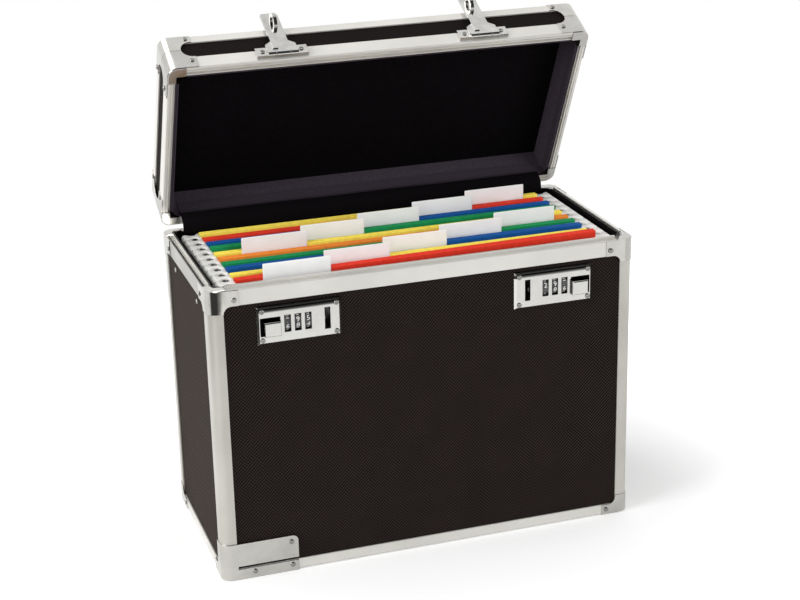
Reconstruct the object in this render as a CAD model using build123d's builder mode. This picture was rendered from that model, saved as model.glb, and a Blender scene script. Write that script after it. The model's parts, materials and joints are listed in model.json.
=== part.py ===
from build123d import *
import os

# A portable file box: an aluminium-framed case with a hinged lid, two combination locks with
# hasps, a carrying handle and ten hanging folders. Millimetres, +Z up, front towards -Y.
# The origin is the middle of the footprint, on the surface that the box stands on.
# The lid is drawn shut and then turned open about its hinge pin, and each hasp is drawn
# hanging over its lock and then turned back onto the lid's front wall.

os.makedirs("parts", exist_ok=True)

# Case
case_width = 370.0
case_depth = 174.0
body_height = 257.0
lid_height = 40.0
lid_opening = 63.0
corner_radius = 8.0
tight_radius = 0.5
panel_thickness = 6.0
lining_thickness = 1.0
rail_thickness = 1.2

# Rim rails: an outer flange, a web over the panel's edge and an inner flange
rim_flange = 13.5
rim_inner_flange = 11.0
rim_overhang = 1.0
rim_seat = 3.8
rim_edge_round = 0.8
tongue_width = 1.6
tongue_height = 2.6
tongue_inset = 5.0
tongue_play = 0.4
tongue_end_gap = 0.6
groove_clearance = 1.2
line_width = 0.7
line_depth = 0.5
line_insets = (2.7, 7.7)

# Other frame rails
base_flange = 9.0
base_under_flange = 16.0
lid_top_flange = 8.0
lid_top_over_flange = 14.0
post_front_flange = 12.5
post_side_flange = 15.5

# Corner caps
cap_thickness = 0.7
cap_front_arm = 25.6
cap_side_arm = 30.0
cap_fillet = 6.5
cap_edge_round = 1.2
rim_cap_leg = 19.5
rim_rivet_drop = 8.5
rim_plate_arm = 15.0
foot_leg = 17.0
lid_rim_cap_leg = 22.0
lid_cap_seam = 0.3
lid_cap_leg_width = 15.3
lid_cap_fillet = 9.0
cap_parting = 0.4
rivet_radius = 2.2
rivet_height = 1.0
rivet_dome = 0.8
rivet_setback = 4.2

# Name plate corner, left bare
plate_corner_width = 65.0
plate_corner_height = 33.0
plate_corner_side = 28.0
plate_corner_skin = 1.0
plate_corner_flange = 8.8
plate_slit = 2.8
plate_round = 5.0
plate_rivets = [(26.9, 5.9), (59.5, 5.9), (59.2, 27.4)]

# Inner rails that the folders hang on
hang_rail_thickness = 1.2
hang_rail_reach = 10.2
hang_rail_drop = 4.5
hang_rail_lip = 10.5
hang_rail_leg = 14.0
hang_rail_end_gap = 3.0
hang_rivet_setback = 33.8
hang_rivet_drop = 7.0

# Lid hinge
hinge_pin_radius = 1.5
hinge_knuckle_radius = 2.6
hinge_leaf_height = 14.0
hinge_rivets = 6
hinge_rivet_drop = 9.5
hinge_knuckles = 11
hinge_end_gap = 1.0
knuckle_gap = 0.3
running_gap = 0.05
free_gap = 0.3
cover_thickness = 0.8
cover_end_setback = 7.0
cover_tail = 17.0
cover_bend_low = 6.0
cover_bend_high = 3.0

# Locks
lock_setback = 74.2
lock_drop = 33.5
lock_width = 70.4
lock_height = 32.8
lock_rise = 2.8
lock_face = 1.6
lock_bevel = 1.8
lock_base = 1.0
lock_case_width = 60.6
lock_case_height = 28.0
lock_case_wall = 1.0
lock_case_play = 0.2
lock_screw_x = 31.1
lock_screw_z = 12.3
screw_radius = 2.2
screw_height = 0.8
screw_round = 0.5
screw_slot = 0.6
screw_slot_length = 2.9
staple_slot_offset = 23.5
staple_slot_width = 4.9
staple_slot_height = 18.6

# Dials
dial_count = 3
dial_radius = 8.2
dial_width = 5.0
dial_pitch = 8.6
dial_offset = 1.3
dial_proud = 0.5
dial_window_width = 5.6
dial_window_height = 14.6
dial_notches = 10
dial_notch_radius = 0.5
dial_axle_radius = 1.5
dial_rib = 1.2
dial_rib_height = 15.0
dial_back_gap = 0.5

# Lock slides
slide_travel = 2.5
button_offset = 23.0
button_width = 13.9
button_height = 12.4
button_depth = 5.0
button_drop = 2.4
button_round = 1.2
button_lift = 0.2
button_recess = 0.8
button_headroom = 2.6
stem_width = 6.0
stem_height = 9.0
slide_plate = 1.0
slide_inner_end = 13.5
slide_bar_height = 2.6
slide_bar_depth = 2.5
slide_floor_gap = 0.5
riser_width = 3.0
riser_offset = 16.0
bolt_height = 4.0
bolt_depth = 1.2
bolt_round = 1.5
bolt_reach = 1.65
lug_width = 1.5
spring_radius = 1.5
spring_wire = 0.25
spring_turns = 8

# Hasps
hasp_offset = 22.3
hasp_length = 52.0
hasp_thickness = 1.5
hasp_arm_width = 15.0
hasp_shoulder_width = 26.0
hasp_shoulder_length = 11.0
hasp_shoulder_taper = 4.0
hasp_rib_width = 4.5
hasp_rib_height = 0.9
hasp_pin_radius = 1.1
hasp_knuckle_radius = 2.4
hasp_knuckle_length = 12.0
hasp_pin_height = 3.5
hasp_base_width = 44.0
hasp_base_thickness = 1.2
hasp_ear_width = 11.0
hasp_ear_height = 10.5
hasp_ear_rise = 1.6
hasp_screw_height = 8.2
hasp_round = 2.0
hasp_tip_round = 4.0
hasp_fold = 180.0
staple_length = 17.0
staple_depth = 8.5
staple_thickness = 3.0
staple_bar = 3.2

# Handle
handle_span = 112.0
handle_reach = 34.0
handle_thickness = 9.0
grip_depth = 13.0
grip_outer_round = 5.8
grip_inner_round = 4.0
handle_leg = 9.4
handle_round = 3.0
handle_pin_radius = 2.0
handle_pivot_height = 7.0
handle_play = 0.3
bracket_width = 26.0
bracket_depth = 24.0
bracket_plate = 1.5
bracket_ear = 2.0
bracket_ear_round = 3.8
bracket_round = 3.0
bracket_rivet_margin = 1.0

# Hanging folders
folder_count = 10
folder_front_gap = 2.0
folder_back_gap = 12.6
folder_floor_gap = 5.1
folder_leaf = 0.5
folder_half_thickness = 3.2
folder_hem_inner = 0.7
folder_hem_round = 0.6
folder_bend = 2.6
bar_height = 12.5
bar_headroom = 1.5
bar_thickness = 1.4
hook_length = 15.0
hook_rest_gap = 0.05
hook_side_gap = 1.9
hook_bridge = 3.45
hook_tip = 4.0
hook_tip_height = 10.0
hook_web = 3.5
hook_round = 0.6
tab_width = 57.0
tab_height = 15.0
tab_thickness = 0.7
tab_overlap = 3.5
tab_margin_left = 22.9
tab_margin_right = 13.9
tab_positions = 5

# Levels and faces that follow from the sizes above
front_y = -case_depth / 2
panel_face_y = front_y + rail_thickness
wall_inset = rail_thickness + panel_thickness
inner_inset = wall_inset + lining_thickness
rim_width = wall_inset + rail_thickness + rim_overhang
base_rail_z = cap_thickness
base_panel_z = base_rail_z + rail_thickness
floor_z = base_panel_z + panel_thickness
rim_gap = 2 * cap_thickness + cap_parting
lid_rim_z = body_height + rim_gap
lid_top_z = lid_rim_z + lid_height
lid_panel_top = lid_top_z - rail_thickness
lid_panel_under = lid_panel_top - panel_thickness
hinge_y = case_depth / 2 + hinge_knuckle_radius + free_gap
hinge_z = body_height + rim_gap / 2
hinge_length = case_width - 2 * (cap_front_arm + hinge_end_gap)
clear_of_all = lid_top_z + case_depth
cut = 1.0

open_lid = Pos(0, hinge_y, hinge_z) * Rot(-lid_opening, 0, 0) * Pos(0, -hinge_y, -hinge_z)


def save(name, *pieces):
    """Labels a sub-part, made of one or more separate solids, and writes its STEP file."""
    solids = [solid for piece in pieces for solid in piece.solids()]
    part = Part(Compound(solids).wrapped) if len(solids) > 1 else Part(solids[0].wrapped)
    part.label = name
    export_step(part, f"parts/{name}.step")


def outline(inset, mode=Mode.ADD):
    """The case's rounded plan, drawn inwards by inset."""
    radius = max(corner_radius - inset, tight_radius)
    RectangleRounded(case_width - 2 * inset, case_depth - 2 * inset, radius, mode=mode)


def block(x, y, z, mode=Mode.ADD):
    """A box between the given pairs of limits."""
    with Locations(((x[0] + x[1]) / 2, (y[0] + y[1]) / 2, (z[0] + z[1]) / 2)):
        Box(abs(x[1] - x[0]), abs(y[1] - y[0]), abs(z[1] - z[0]), mode=mode)


def wall_panel(side, low, high):
    """A flat wall between two levels, rounded where it meets the corner posts."""
    half = (case_width if side in ("left", "right") else case_depth) / 2
    outward = -1 if side in ("left", "front") else 1
    middle = outward * (half - rail_thickness - panel_thickness / 2)
    with BuildPart() as panel:
        with BuildSketch(Plane.XY.offset(low)):
            outline(rail_thickness)
            if side in ("left", "right"):
                with Locations((middle, 0)):
                    Rectangle(panel_thickness, case_depth - 2 * wall_inset, mode=Mode.INTERSECT)
            else:
                with Locations((0, middle)):
                    Rectangle(case_width, panel_thickness, mode=Mode.INTERSECT)
        extrude(amount=high - low)
    return panel.part


def flat_panel(low, high):
    """A floor or top panel inside the frame."""
    with BuildPart() as panel:
        with BuildSketch(Plane.XY.offset(low)):
            outline(rail_thickness)
        extrude(amount=high - low)
    return panel.part


def rail(side, profile, edge_z, sense):
    """One mitred rail. Its profile holds (in from the outer face, up from the edge, fillet)."""
    along_x = side in ("front", "back")
    half = (case_depth if along_x else case_width) / 2
    length = case_width if along_x else case_depth
    outward = -1 if side in ("front", "left") else 1
    plane = Plane.YZ.offset(-length / 2) if along_x else Plane.XZ.offset(-length / 2)
    points = [(outward * (half - u), edge_z + sense * v) for u, v, r in profile]
    mitre = base_under_flange + rim_width
    x, y = case_width / 2, case_depth / 2
    corners = [(-x, outward * y), (x, outward * y), (x - mitre, outward * (y - mitre)),
               (mitre - x, outward * (y - mitre))]
    if not along_x:
        corners = [(outward * x, -y), (outward * x, y), (outward * (x - mitre), y - mitre),
                   (outward * (x - mitre), mitre - y)]
    with BuildPart() as piece:
        with BuildSketch(plane):
            with BuildLine():
                FilletPolyline(points, radius=[r for u, v, r in profile], close=True)
            make_face()
        extrude(amount=length)
        with BuildSketch(Plane.XY):
            outline(0)
            with BuildLine():
                Polyline(corners, close=True)
            make_face(mode=Mode.INTERSECT)
        extrude(amount=clear_of_all, mode=Mode.INTERSECT)
    return piece.part


def score_line(start):
    """A shallow line scored along the rim rail's face."""
    end = start + line_width
    return [(start, 0, 0), (start, -line_depth, 0), (end, -line_depth, 0), (end, 0, 0)]


def rim_profile(feature):
    """The rim rail's section, with a tongue, a groove or a plain edge on its face."""
    flange_in = wall_inset + rail_thickness
    section = [(0, -rim_flange, 0), (0, 0, rim_edge_round)]
    section += score_line(line_insets[0])
    tongue_end = tongue_inset + tongue_width
    if feature == "tongue":
        section += [(tongue_inset, 0, 0), (tongue_inset, tongue_height, 0)]
        section += [(tongue_end, tongue_height, 0), (tongue_end, 0, 0)]
    if feature == "groove":
        depth = tongue_height - rim_gap + groove_clearance
        section += [(tongue_inset - tongue_play, 0, 0), (tongue_inset - tongue_play, -depth, 0)]
        section += [(tongue_end + tongue_play, -depth, 0), (tongue_end + tongue_play, 0, 0)]
    section += score_line(line_insets[1])
    section += [(rim_width, 0, 0), (rim_width, -rail_thickness, 0)]
    section += [(flange_in, -rail_thickness, 0), (flange_in, -rim_inner_flange, 0)]
    section += [(wall_inset, -rim_inner_flange, 0), (wall_inset, -rim_seat, 0)]
    section += [(rail_thickness, -rim_seat, 0), (rail_thickness, -rim_flange, 0)]
    return section


def rim_rails(edge_z, sense, feature):
    """The four rim rails. The tongue stops short of both the rim caps and the lid's caps."""
    rails = []
    trim = rim_plate_arm + tongue_end_gap
    for side in ("front", "back", "left", "right"):
        here = "plain" if side == "back" else feature
        piece = rail(side, rim_profile(here), edge_z, sense)
        if here == "tongue":
            with BuildPart() as trimmed:
                add(piece)
                for x in (-1, 1):
                    for y in (-1, 1):
                        block((x * (case_width / 2 - trim), x * case_width / 2),
                              (y * (case_depth / 2 - trim), y * case_depth / 2),
                              (edge_z, edge_z + sense * tongue_height), mode=Mode.SUBTRACT)
            piece = trimmed.part
        rails.append(piece)
    return rails


def corner_post(x_side, y_side, low, high):
    """An L-shaped extrusion with a rounded outer corner."""
    with BuildPart() as post:
        with BuildSketch(Plane.XY.offset(low)):
            outline(0)
            outline(rail_thickness, mode=Mode.SUBTRACT)
            with Locations((x_side * (case_width - post_front_flange) / 2,
                            y_side * (case_depth - post_side_flange) / 2)):
                Rectangle(post_front_flange, post_side_flange, mode=Mode.INTERSECT)
        extrude(amount=high - low)
    return post.part


def corner_cap(x_side, y_side, edge_z, inward, leg, flange, plate_width, plate_arms,
               leg_widths=(post_front_flange, post_side_flange), round_in=cap_fillet):
    """A stamped cap on a corner of the frame: two walls with arms, and a plate over the edge."""
    x, y = case_width / 2, case_depth / 2
    outer = cap_thickness + cut
    with BuildPart() as cap:
        with BuildSketch(Plane.XY.offset(edge_z - inward * cap_thickness)):
            outline(-cap_thickness)
        extrude(amount=inward * (leg + cap_thickness))
        pressed_face = cap.faces().sort_by(Axis((0, 0, 0), (0, 0, inward)))[0]
        fillet(pressed_face.edges(), radius=cap_edge_round)
        block((x_side * (x - cap_front_arm), x_side * (x + outer)),
              (y_side * (y - cap_side_arm), y_side * (y + outer)),
              (edge_z - inward * outer, edge_z + inward * (leg + outer)), mode=Mode.INTERSECT)
        with BuildSketch(Plane.XY.offset(edge_z)):
            outline(0)
        extrude(amount=inward * leg, mode=Mode.SUBTRACT)
        # the plate over the edge is an L with a rounded inner corner
        with BuildSketch(Plane.XY.offset(edge_z - inward * (cap_thickness + cut))):
            with BuildLine():
                inner_x = x_side * (x - plate_width)
                inner_y = y_side * (y - plate_width)
                FilletPolyline((inner_x, inner_y), (0, inner_y), (0, 0), (inner_x, 0),
                               radius=[cap_fillet, 0, 0, 0], close=True)
            make_face()
            with Locations((x_side * (x - plate_arms[0]) / 2, y_side * y)):
                Rectangle(x - plate_arms[0], 2 * (cap_side_arm + outer))
            with Locations((x_side * x, y_side * (y - plate_arms[1]) / 2)):
                Rectangle(2 * (cap_front_arm + outer), y - plate_arms[1])
        extrude(amount=inward * (cap_thickness + cut), mode=Mode.SUBTRACT)
        # the front or back wall keeps its leg over the post and its arm over the rail
        with BuildSketch(Plane.XZ.offset(-y_side * (y + outer))):
            with BuildLine():
                FilletPolyline((x_side * (x - leg_widths[0]), edge_z + inward * flange),
                               (x_side * (x - leg_widths[0]), edge_z + inward * (leg + cut)),
                               (0, edge_z + inward * (leg + cut)), (0, edge_z + inward * flange),
                               radius=[round_in, 0, 0, 0], close=True)
            make_face()
        extrude(amount=y_side * (outer + cut), mode=Mode.SUBTRACT)
        with BuildSketch(Plane.YZ.offset(x_side * (x + outer))):
            with BuildLine():
                FilletPolyline((y_side * (y - leg_widths[1]), edge_z + inward * flange),
                               (y_side * (y - leg_widths[1]), edge_z + inward * (leg + cut)),
                               (0, edge_z + inward * (leg + cut)), (0, edge_z + inward * flange),
                               radius=[round_in, 0, 0, 0], close=True)
            make_face()
        extrude(amount=-x_side * (outer + cut), mode=Mode.SUBTRACT)
    return cap.part


def rivet(point, direction):
    """A domed rivet head on a face."""
    seat = Plane(origin=point, z_dir=direction)
    with BuildPart(seat) as head:
        Cylinder(rivet_radius, rivet_height, align=(Align.CENTER, Align.CENTER, Align.MIN))
        rim = head.edges().filter_by(GeomType.CIRCLE).sort_by(Axis(point, direction))[-1]
        fillet(rim, radius=rivet_dome)
    return head.part


def screw(point, direction):
    """A pan-head screw with a cross recess, on a face."""
    seat = Plane(origin=point, z_dir=direction)
    with BuildPart(seat) as head:
        Cylinder(screw_radius, screw_height, align=(Align.CENTER, Align.CENTER, Align.MIN))
        rim = head.edges().filter_by(GeomType.CIRCLE).sort_by(Axis(point, direction))[-1]
        fillet(rim, radius=screw_round)
        with Locations((0, 0, screw_height)):
            Box(screw_slot_length, screw_slot, screw_height, mode=Mode.SUBTRACT)
            Box(screw_slot, screw_slot_length, screw_height, mode=Mode.SUBTRACT)
    return head.part


def cap_rivets(edge_z, inward, drop, corners):
    """Two rivets on each cap, one near the end of each arm."""
    heads = []
    for x_side, y_side in corners:
        z = edge_z + inward * drop
        x = x_side * (case_width / 2 - cap_front_arm + rivet_setback)
        y = y_side * (case_depth / 2 - cap_side_arm + rivet_setback)
        face_x = x_side * (case_width / 2 + cap_thickness)
        face_y = y_side * (case_depth / 2 + cap_thickness)
        heads.append(rivet((x, face_y, z), (0, y_side, 0)))
        heads.append(rivet((face_x, y, z), (x_side, 0, 0)))
    return heads


# Body: panels, lining and frame
wall_top = body_height - rim_seat
lock_x = case_width / 2 - lock_setback
lock_z = body_height - lock_drop
lock_case_half = lock_case_width / 2
all_corners = [(x, y) for x in (-1, 1) for y in (-1, 1)]

with BuildPart() as front_panel:
    add(wall_panel("front", floor_z, wall_top))
    for side in (-1, 1):
        hole = lock_case_half + lock_case_play
        rise = lock_case_height / 2 + lock_case_play
        block((side * lock_x - hole, side * lock_x + hole), (front_y, front_y + inner_inset),
              (lock_z - rise, lock_z + rise), mode=Mode.SUBTRACT)
save("front_panel", front_panel.part)
save("back_panel", wall_panel("back", floor_z, wall_top))
save("left_panel", wall_panel("left", floor_z, wall_top))
save("right_panel", wall_panel("right", floor_z, wall_top))
save("base_panel", flat_panel(base_panel_z, floor_z))

with BuildPart() as body_lining:
    with BuildSketch(Plane.XY.offset(floor_z)):
        outline(wall_inset)
    extrude(amount=body_height - rim_inner_flange - floor_z)
    with BuildSketch(Plane.XY.offset(floor_z + lining_thickness)):
        outline(inner_inset)
    extrude(amount=body_height, mode=Mode.SUBTRACT)
    for side in (-1, 1):
        hole = lock_case_half + lock_case_play
        rise = lock_case_height / 2 + lock_case_play
        block((side * lock_x - hole, side * lock_x + hole), (front_y, front_y + 2 * inner_inset),
              (lock_z - rise, lock_z + rise), mode=Mode.SUBTRACT)
save("body_lining", body_lining.part)

base_profile = [(0, base_flange, 0), (0, 0, rim_edge_round), (base_under_flange, 0, 0),
                (base_under_flange, rail_thickness, 0), (rail_thickness, rail_thickness, 0),
                (rail_thickness, base_flange, 0)]
sides = ("front", "back", "left", "right")
save("base_rails", *[rail(side, base_profile, base_rail_z, 1) for side in sides])
save("rim_rails", *rim_rails(body_height, 1, "tongue"))

post_low = base_rail_z + base_flange
post_high = body_height - rim_flange
save("corner_posts", *[corner_post(x, y, post_low, post_high) for x, y in all_corners])

rim_arms = (rim_plate_arm, rim_plate_arm)
save("rim_caps", *[corner_cap(x, y, body_height, -1, rim_cap_leg, rim_flange, rim_width, rim_arms)
                   for x, y in all_corners])

foot_corners = [corner for corner in all_corners if corner != (-1, -1)]
foot_arms = (cap_front_arm, cap_side_arm)
save("foot_caps", *[corner_cap(x, y, base_rail_z, 1, foot_leg, base_flange, base_under_flange, foot_arms)
                    for x, y in foot_corners])

# The front left foot has a longer cap with a raised, bare name plate
with BuildPart() as name_plate_corner:
    skin = plate_corner_skin
    left, front = -case_width / 2, -case_depth / 2
    reach_x = left + plate_corner_width
    post_edge = left + post_front_flange
    plate_low = base_rail_z + plate_corner_flange + plate_slit
    with BuildSketch(Plane.XY):
        outline(-skin)
        with Locations((reach_x, front + plate_corner_side)):
            Rectangle(2 * plate_corner_width + skin, 2 * plate_corner_side + skin,
                      align=(Align.MAX, Align.MAX), mode=Mode.INTERSECT)
    extrude(amount=plate_corner_height)
    with BuildSketch(Plane.XY.offset(base_rail_z)):
        outline(0)
    extrude(amount=plate_corner_height, mode=Mode.SUBTRACT)
    # the plate under the corner is an L like the other feet
    with BuildSketch(Plane.XY):
        with Locations((left + base_under_flange, front + base_under_flange)):
            Rectangle(plate_corner_width, plate_corner_side, align=(Align.MIN, Align.MIN))
    extrude(amount=base_rail_z, mode=Mode.SUBTRACT)
    # the slit between the lower flange and the plate
    block((post_edge, reach_x + cut), (front - skin - cut, front),
          (base_rail_z + plate_corner_flange, plate_low), mode=Mode.SUBTRACT)
    # the side wall drops to the height of the base rail behind the post
    with BuildSketch(Plane.YZ.offset(left - skin - cut)):
        with BuildLine():
            FilletPolyline((front + post_side_flange, base_rail_z + base_flange),
                           (front + post_side_flange, plate_corner_height + cut),
                           (front + 2 * plate_corner_side, plate_corner_height + cut),
                           (front + 2 * plate_corner_side, base_rail_z + base_flange),
                           radius=[cap_fillet, 0, 0, 0], close=True)
        make_face()
    extrude(amount=skin + 2 * cut, mode=Mode.SUBTRACT)
    # the plate's back rests on the panel
    block((post_edge, reach_x), (front, panel_face_y), (plate_low, plate_corner_height))
    plate_tips = name_plate_corner.edges().filter_by(Axis.Y).group_by(Axis.X)[-1]
    fillet(plate_tips.sort_by(Axis.Z)[-1], radius=plate_round)
save("name_plate_corner", name_plate_corner.part)

# Inner rails that the folders hang on, riveted through the side panels
hang_wall_x = case_width / 2 - inner_inset
hang_half_length = case_depth / 2 - inner_inset - hang_rail_end_gap
lip_x = hang_wall_x - hang_rail_reach
lip_top = body_height - hang_rail_drop
ledge_z = lip_top - hang_rail_lip


def hanging_rail(x_side):
    """A strip with a leg down the wall, a ledge, and a lip that stands up at the ledge's edge."""
    lip_in = lip_x - hang_rail_thickness
    leg_in = hang_wall_x - hang_rail_thickness
    under = ledge_z - hang_rail_thickness
    foot = ledge_z - hang_rail_leg
    section = [(hang_wall_x, foot), (hang_wall_x, ledge_z), (lip_x, ledge_z), (lip_x, lip_top),
               (lip_in, lip_top), (lip_in, under), (leg_in, under), (leg_in, foot)]
    with BuildPart() as strip:
        with BuildSketch(Plane.XZ.offset(-hang_half_length)):
            with BuildLine():
                Polyline([(x_side * x, z) for x, z in section], close=True)
            make_face()
        extrude(amount=2 * hang_half_length)
    return strip.part


save("left_hanging_rail", hanging_rail(-1))
save("right_hanging_rail", hanging_rail(1))

# Hinge along the back: two leaves with alternating knuckles on one pin
knuckle_pitch = hinge_length / hinge_knuckles


def hinge_leaf(sense, first, play):
    """A leaf below (-1) or above (1) the pin, which owns every second knuckle from first."""
    back = case_depth / 2
    far = hinge_z + sense * hinge_leaf_height
    own = [i for i in range(hinge_knuckles) if i % 2 == first]
    half = (knuckle_pitch - knuckle_gap) / 2
    centre = [(i + 0.5) * knuckle_pitch - hinge_length / 2 for i in range(hinge_knuckles)]
    near = hinge_z + sense * (hinge_knuckle_radius + free_gap)
    with BuildPart() as leaf:
        block((-hinge_length / 2, hinge_length / 2), (back, back + rail_thickness), (near, far))
        for i in own:
            block((centre[i] - half, centre[i] + half), (back + free_gap, back + rail_thickness),
                  (near, hinge_z))
            with Locations(Location((centre[i], hinge_y, hinge_z), (0, 90, 0))):
                Cylinder(hinge_knuckle_radius, 2 * half)
        with Locations(Location((0, hinge_y, hinge_z), (0, 90, 0))):
            Cylinder(hinge_pin_radius + play, hinge_length + 2 * cut, mode=Mode.SUBTRACT)
    return leaf.part


save("hinge_body_leaf", hinge_leaf(-1, 0, 0))
with BuildPart() as hinge_pin:
    with Locations(Location((0, hinge_y, hinge_z), (0, 90, 0))):
        Cylinder(hinge_pin_radius, hinge_length)
save("hinge_pin", hinge_pin.part)
save("hinge_lid_leaf", open_lid * hinge_leaf(1, 1, running_gap))

# A fabric strip inside the box covers the rims at the hinge
with BuildPart() as hinge_cover:
    half = case_width / 2 - rim_width - cover_end_setback
    edge_y = case_depth / 2 - rim_width - cover_thickness
    glued_y = case_depth / 2 - wall_inset - rail_thickness - cover_thickness / 2
    run = [(glued_y, cover_tail), (glued_y, cover_bend_low), (edge_y, cover_bend_high), (edge_y, 0)]
    path = [(y, body_height - drop) for y, drop in run]
    for y, rise in reversed(run):
        spot = open_lid * Pos(0, y, lid_rim_z + rise)
        path.append((spot.position.Y, spot.position.Z))
    with BuildSketch(Plane.YZ.offset(-half)):
        with BuildLine():
            strip_line = FilletPolyline(path, radius=cover_thickness)
        trace(strip_line, line_width=cover_thickness)
    extrude(amount=2 * half)
save("hinge_cover", hinge_cover.part)

# Locks. Each place on a lock is a distance out from its plate's middle, away from the case's middle
face_y = panel_face_y - lock_rise
inner_face_y = face_y + lock_face
dial_y = face_y - dial_proud + dial_radius
case_back_y = dial_y + dial_radius + dial_back_gap
dial_places = [dial_offset + (i - (dial_count - 1) / 2) * dial_pitch for i in range(dial_count)]
rib_places = [dial_offset + (i - dial_count / 2) * dial_pitch for i in range(dial_count + 1)]
case_floor_z = lock_z - lock_case_height / 2 + lock_case_wall
button_z = lock_z - button_drop


def lock_plate(side):
    """The face plate, dished at the back, with a slot, three windows and the slide's window."""
    hole = lock_case_half + lock_case_play
    rise = lock_case_height / 2 + lock_case_play
    with BuildPart() as plate:
        for y, inset in ((panel_face_y, 0), (panel_face_y - lock_base, 0), (face_y, lock_bevel)):
            with BuildSketch(Plane((side * lock_x, y, lock_z), x_dir=(1, 0, 0), z_dir=(0, -1, 0))):
                Rectangle(lock_width - 2 * inset, lock_height - 2 * inset)
        loft(ruled=True)
        block((side * lock_x - hole, side * lock_x + hole), (inner_face_y, panel_face_y),
              (lock_z - rise, lock_z + rise), mode=Mode.SUBTRACT)
        for place in dial_places:
            window(side, place, lock_z, dial_window_width, dial_window_height, lock_face)
        window(side, -staple_slot_offset, lock_z, staple_slot_width, staple_slot_height, lock_face)
        travelled = button_offset + slide_travel / 2
        play = 2 * free_gap
        window(side, travelled, button_z + button_headroom / 2, button_width + slide_travel + play,
               button_height + button_headroom + play, button_recess)
        window(side, travelled, button_z, stem_width + slide_travel + play, stem_height + play, lock_face)
    return plate.part


def window(side, place, middle_z, width, height, depth):
    """Cuts an opening or a recess into the face plate."""
    x = side * (lock_x + place)
    block((x - width / 2, x + width / 2), (face_y - cut, face_y + depth),
          (middle_z - height / 2, middle_z + height / 2), mode=Mode.SUBTRACT)


def lock_case(side):
    """The box behind the plate, with ribs that carry the dials' axle."""
    x = side * lock_x
    with BuildPart() as case:
        block((x - lock_case_half, x + lock_case_half), (inner_face_y, case_back_y + lock_case_wall),
              (lock_z - lock_case_height / 2, lock_z + lock_case_height / 2))
        block((x - lock_case_half + lock_case_wall, x + lock_case_half - lock_case_wall),
              (inner_face_y - cut, case_back_y),
              (case_floor_z, lock_z + lock_case_height / 2 - lock_case_wall), mode=Mode.SUBTRACT)
        for place in rib_places:
            rib_x = side * (lock_x + place)
            block((rib_x - dial_rib / 2, rib_x + dial_rib / 2),
                  (dial_y - 2 * dial_axle_radius, case_back_y),
                  (lock_z - dial_rib_height / 2, lock_z + dial_rib_height / 2))
        with Locations(Location((x, dial_y, lock_z), (0, 90, 0))):
            Cylinder(dial_axle_radius, lock_case_width - 2 * lock_case_wall, mode=Mode.SUBTRACT)
    return case.part


def dial_axle(side):
    """The pin through the dials and their ribs."""
    length = dial_count * dial_pitch + 2 * dial_rib
    with BuildPart() as axle:
        with Locations(Location((side * (lock_x + dial_offset), dial_y, lock_z), (0, 90, 0))):
            Cylinder(dial_axle_radius, length)
    return axle.part


def dial(side, place):
    """A number wheel, with a finger notch between each two of its ten figures."""
    axis_plane = Plane(origin=(side * (lock_x + place) - dial_width / 2, dial_y, lock_z), z_dir=(1, 0, 0))
    with BuildPart(axis_plane) as wheel:
        with BuildSketch(axis_plane):
            Circle(dial_radius)
            Circle(dial_axle_radius + running_gap, mode=Mode.SUBTRACT)
            with PolarLocations(dial_radius, dial_notches, start_angle=180 / dial_notches):
                Circle(dial_notch_radius, mode=Mode.SUBTRACT)
        extrude(amount=dial_width)
    return wheel.part


def lock_slide(side):
    """The button, its stem through the plate, the bar under the dials and the spring bolt."""
    bar_y = inner_face_y + free_gap
    bar_z = case_floor_z + slide_floor_gap

    def span(low, high):
        return (side * (lock_x + low), side * (lock_x + high))

    button_y = face_y + button_recess - button_lift
    stem_high = button_offset + stem_width / 2
    stem_top = button_z + stem_height / 2
    with BuildPart() as slide:
        block(span(button_offset - button_width / 2, button_offset + button_width / 2),
              (button_y - button_depth, button_y),
              (button_z - button_height / 2, button_z + button_height / 2))
        fillet(slide.faces().sort_by(Axis.Y)[0].edges(), radius=button_round)
        block(span(button_offset - stem_width / 2, stem_high), (button_y, bar_y + slide_plate),
              (button_z - stem_height / 2, stem_top))
        block(span(slide_inner_end, stem_high), (bar_y, bar_y + slide_plate), (bar_z, stem_top))
        block(span(-riser_offset - riser_width / 2, slide_inner_end), (bar_y, bar_y + slide_bar_depth),
              (bar_z, bar_z + slide_bar_height))
        block(span(-riser_offset - riser_width / 2, -riser_offset + riser_width / 2),
              (bar_y, bar_y + slide_bar_depth), (bar_z, lock_z + bolt_height / 2))
        bolt_end = -staple_slot_offset + staple_slot_width / 2 - bolt_reach
        block(span(bolt_end, -riser_offset), (bar_y, bar_y + bolt_depth),
              (lock_z - bolt_height / 2, lock_z + bolt_height / 2))
        bolt_nose = slide.edges().filter_by(Axis.Y).group_by(Axis.X)[-1 if side < 0 else 0]
        fillet(bolt_nose, radius=bolt_round)
        block(span(slide_inner_end, slide_inner_end + lug_width),
              (bar_y, bar_y + slide_plate + 2 * (spring_radius + spring_wire)),
              (bar_z, bar_z + 2 * (spring_radius + spring_wire)))
    return slide.part


def lock_spring(side):
    """The coil spring between the slide's lug and the end of the lock case."""
    start = slide_inner_end + lug_width + spring_wire
    length = lock_case_half - lock_case_wall - spring_wire - start
    y = inner_face_y + free_gap + slide_plate + spring_radius + 2 * spring_wire
    z = case_floor_z + slide_floor_gap + spring_radius + spring_wire
    with BuildPart() as spring:
        with BuildLine() as coil:
            Helix(length / spring_turns, length, spring_radius,
                  center=(side * (lock_x + start), y, z), direction=(side, 0, 0))
        with BuildSketch(Plane(origin=coil.line @ 0, z_dir=coil.line % 0)):
            Circle(spring_wire)
        sweep(is_frenet=True)
    return spring.part


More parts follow.
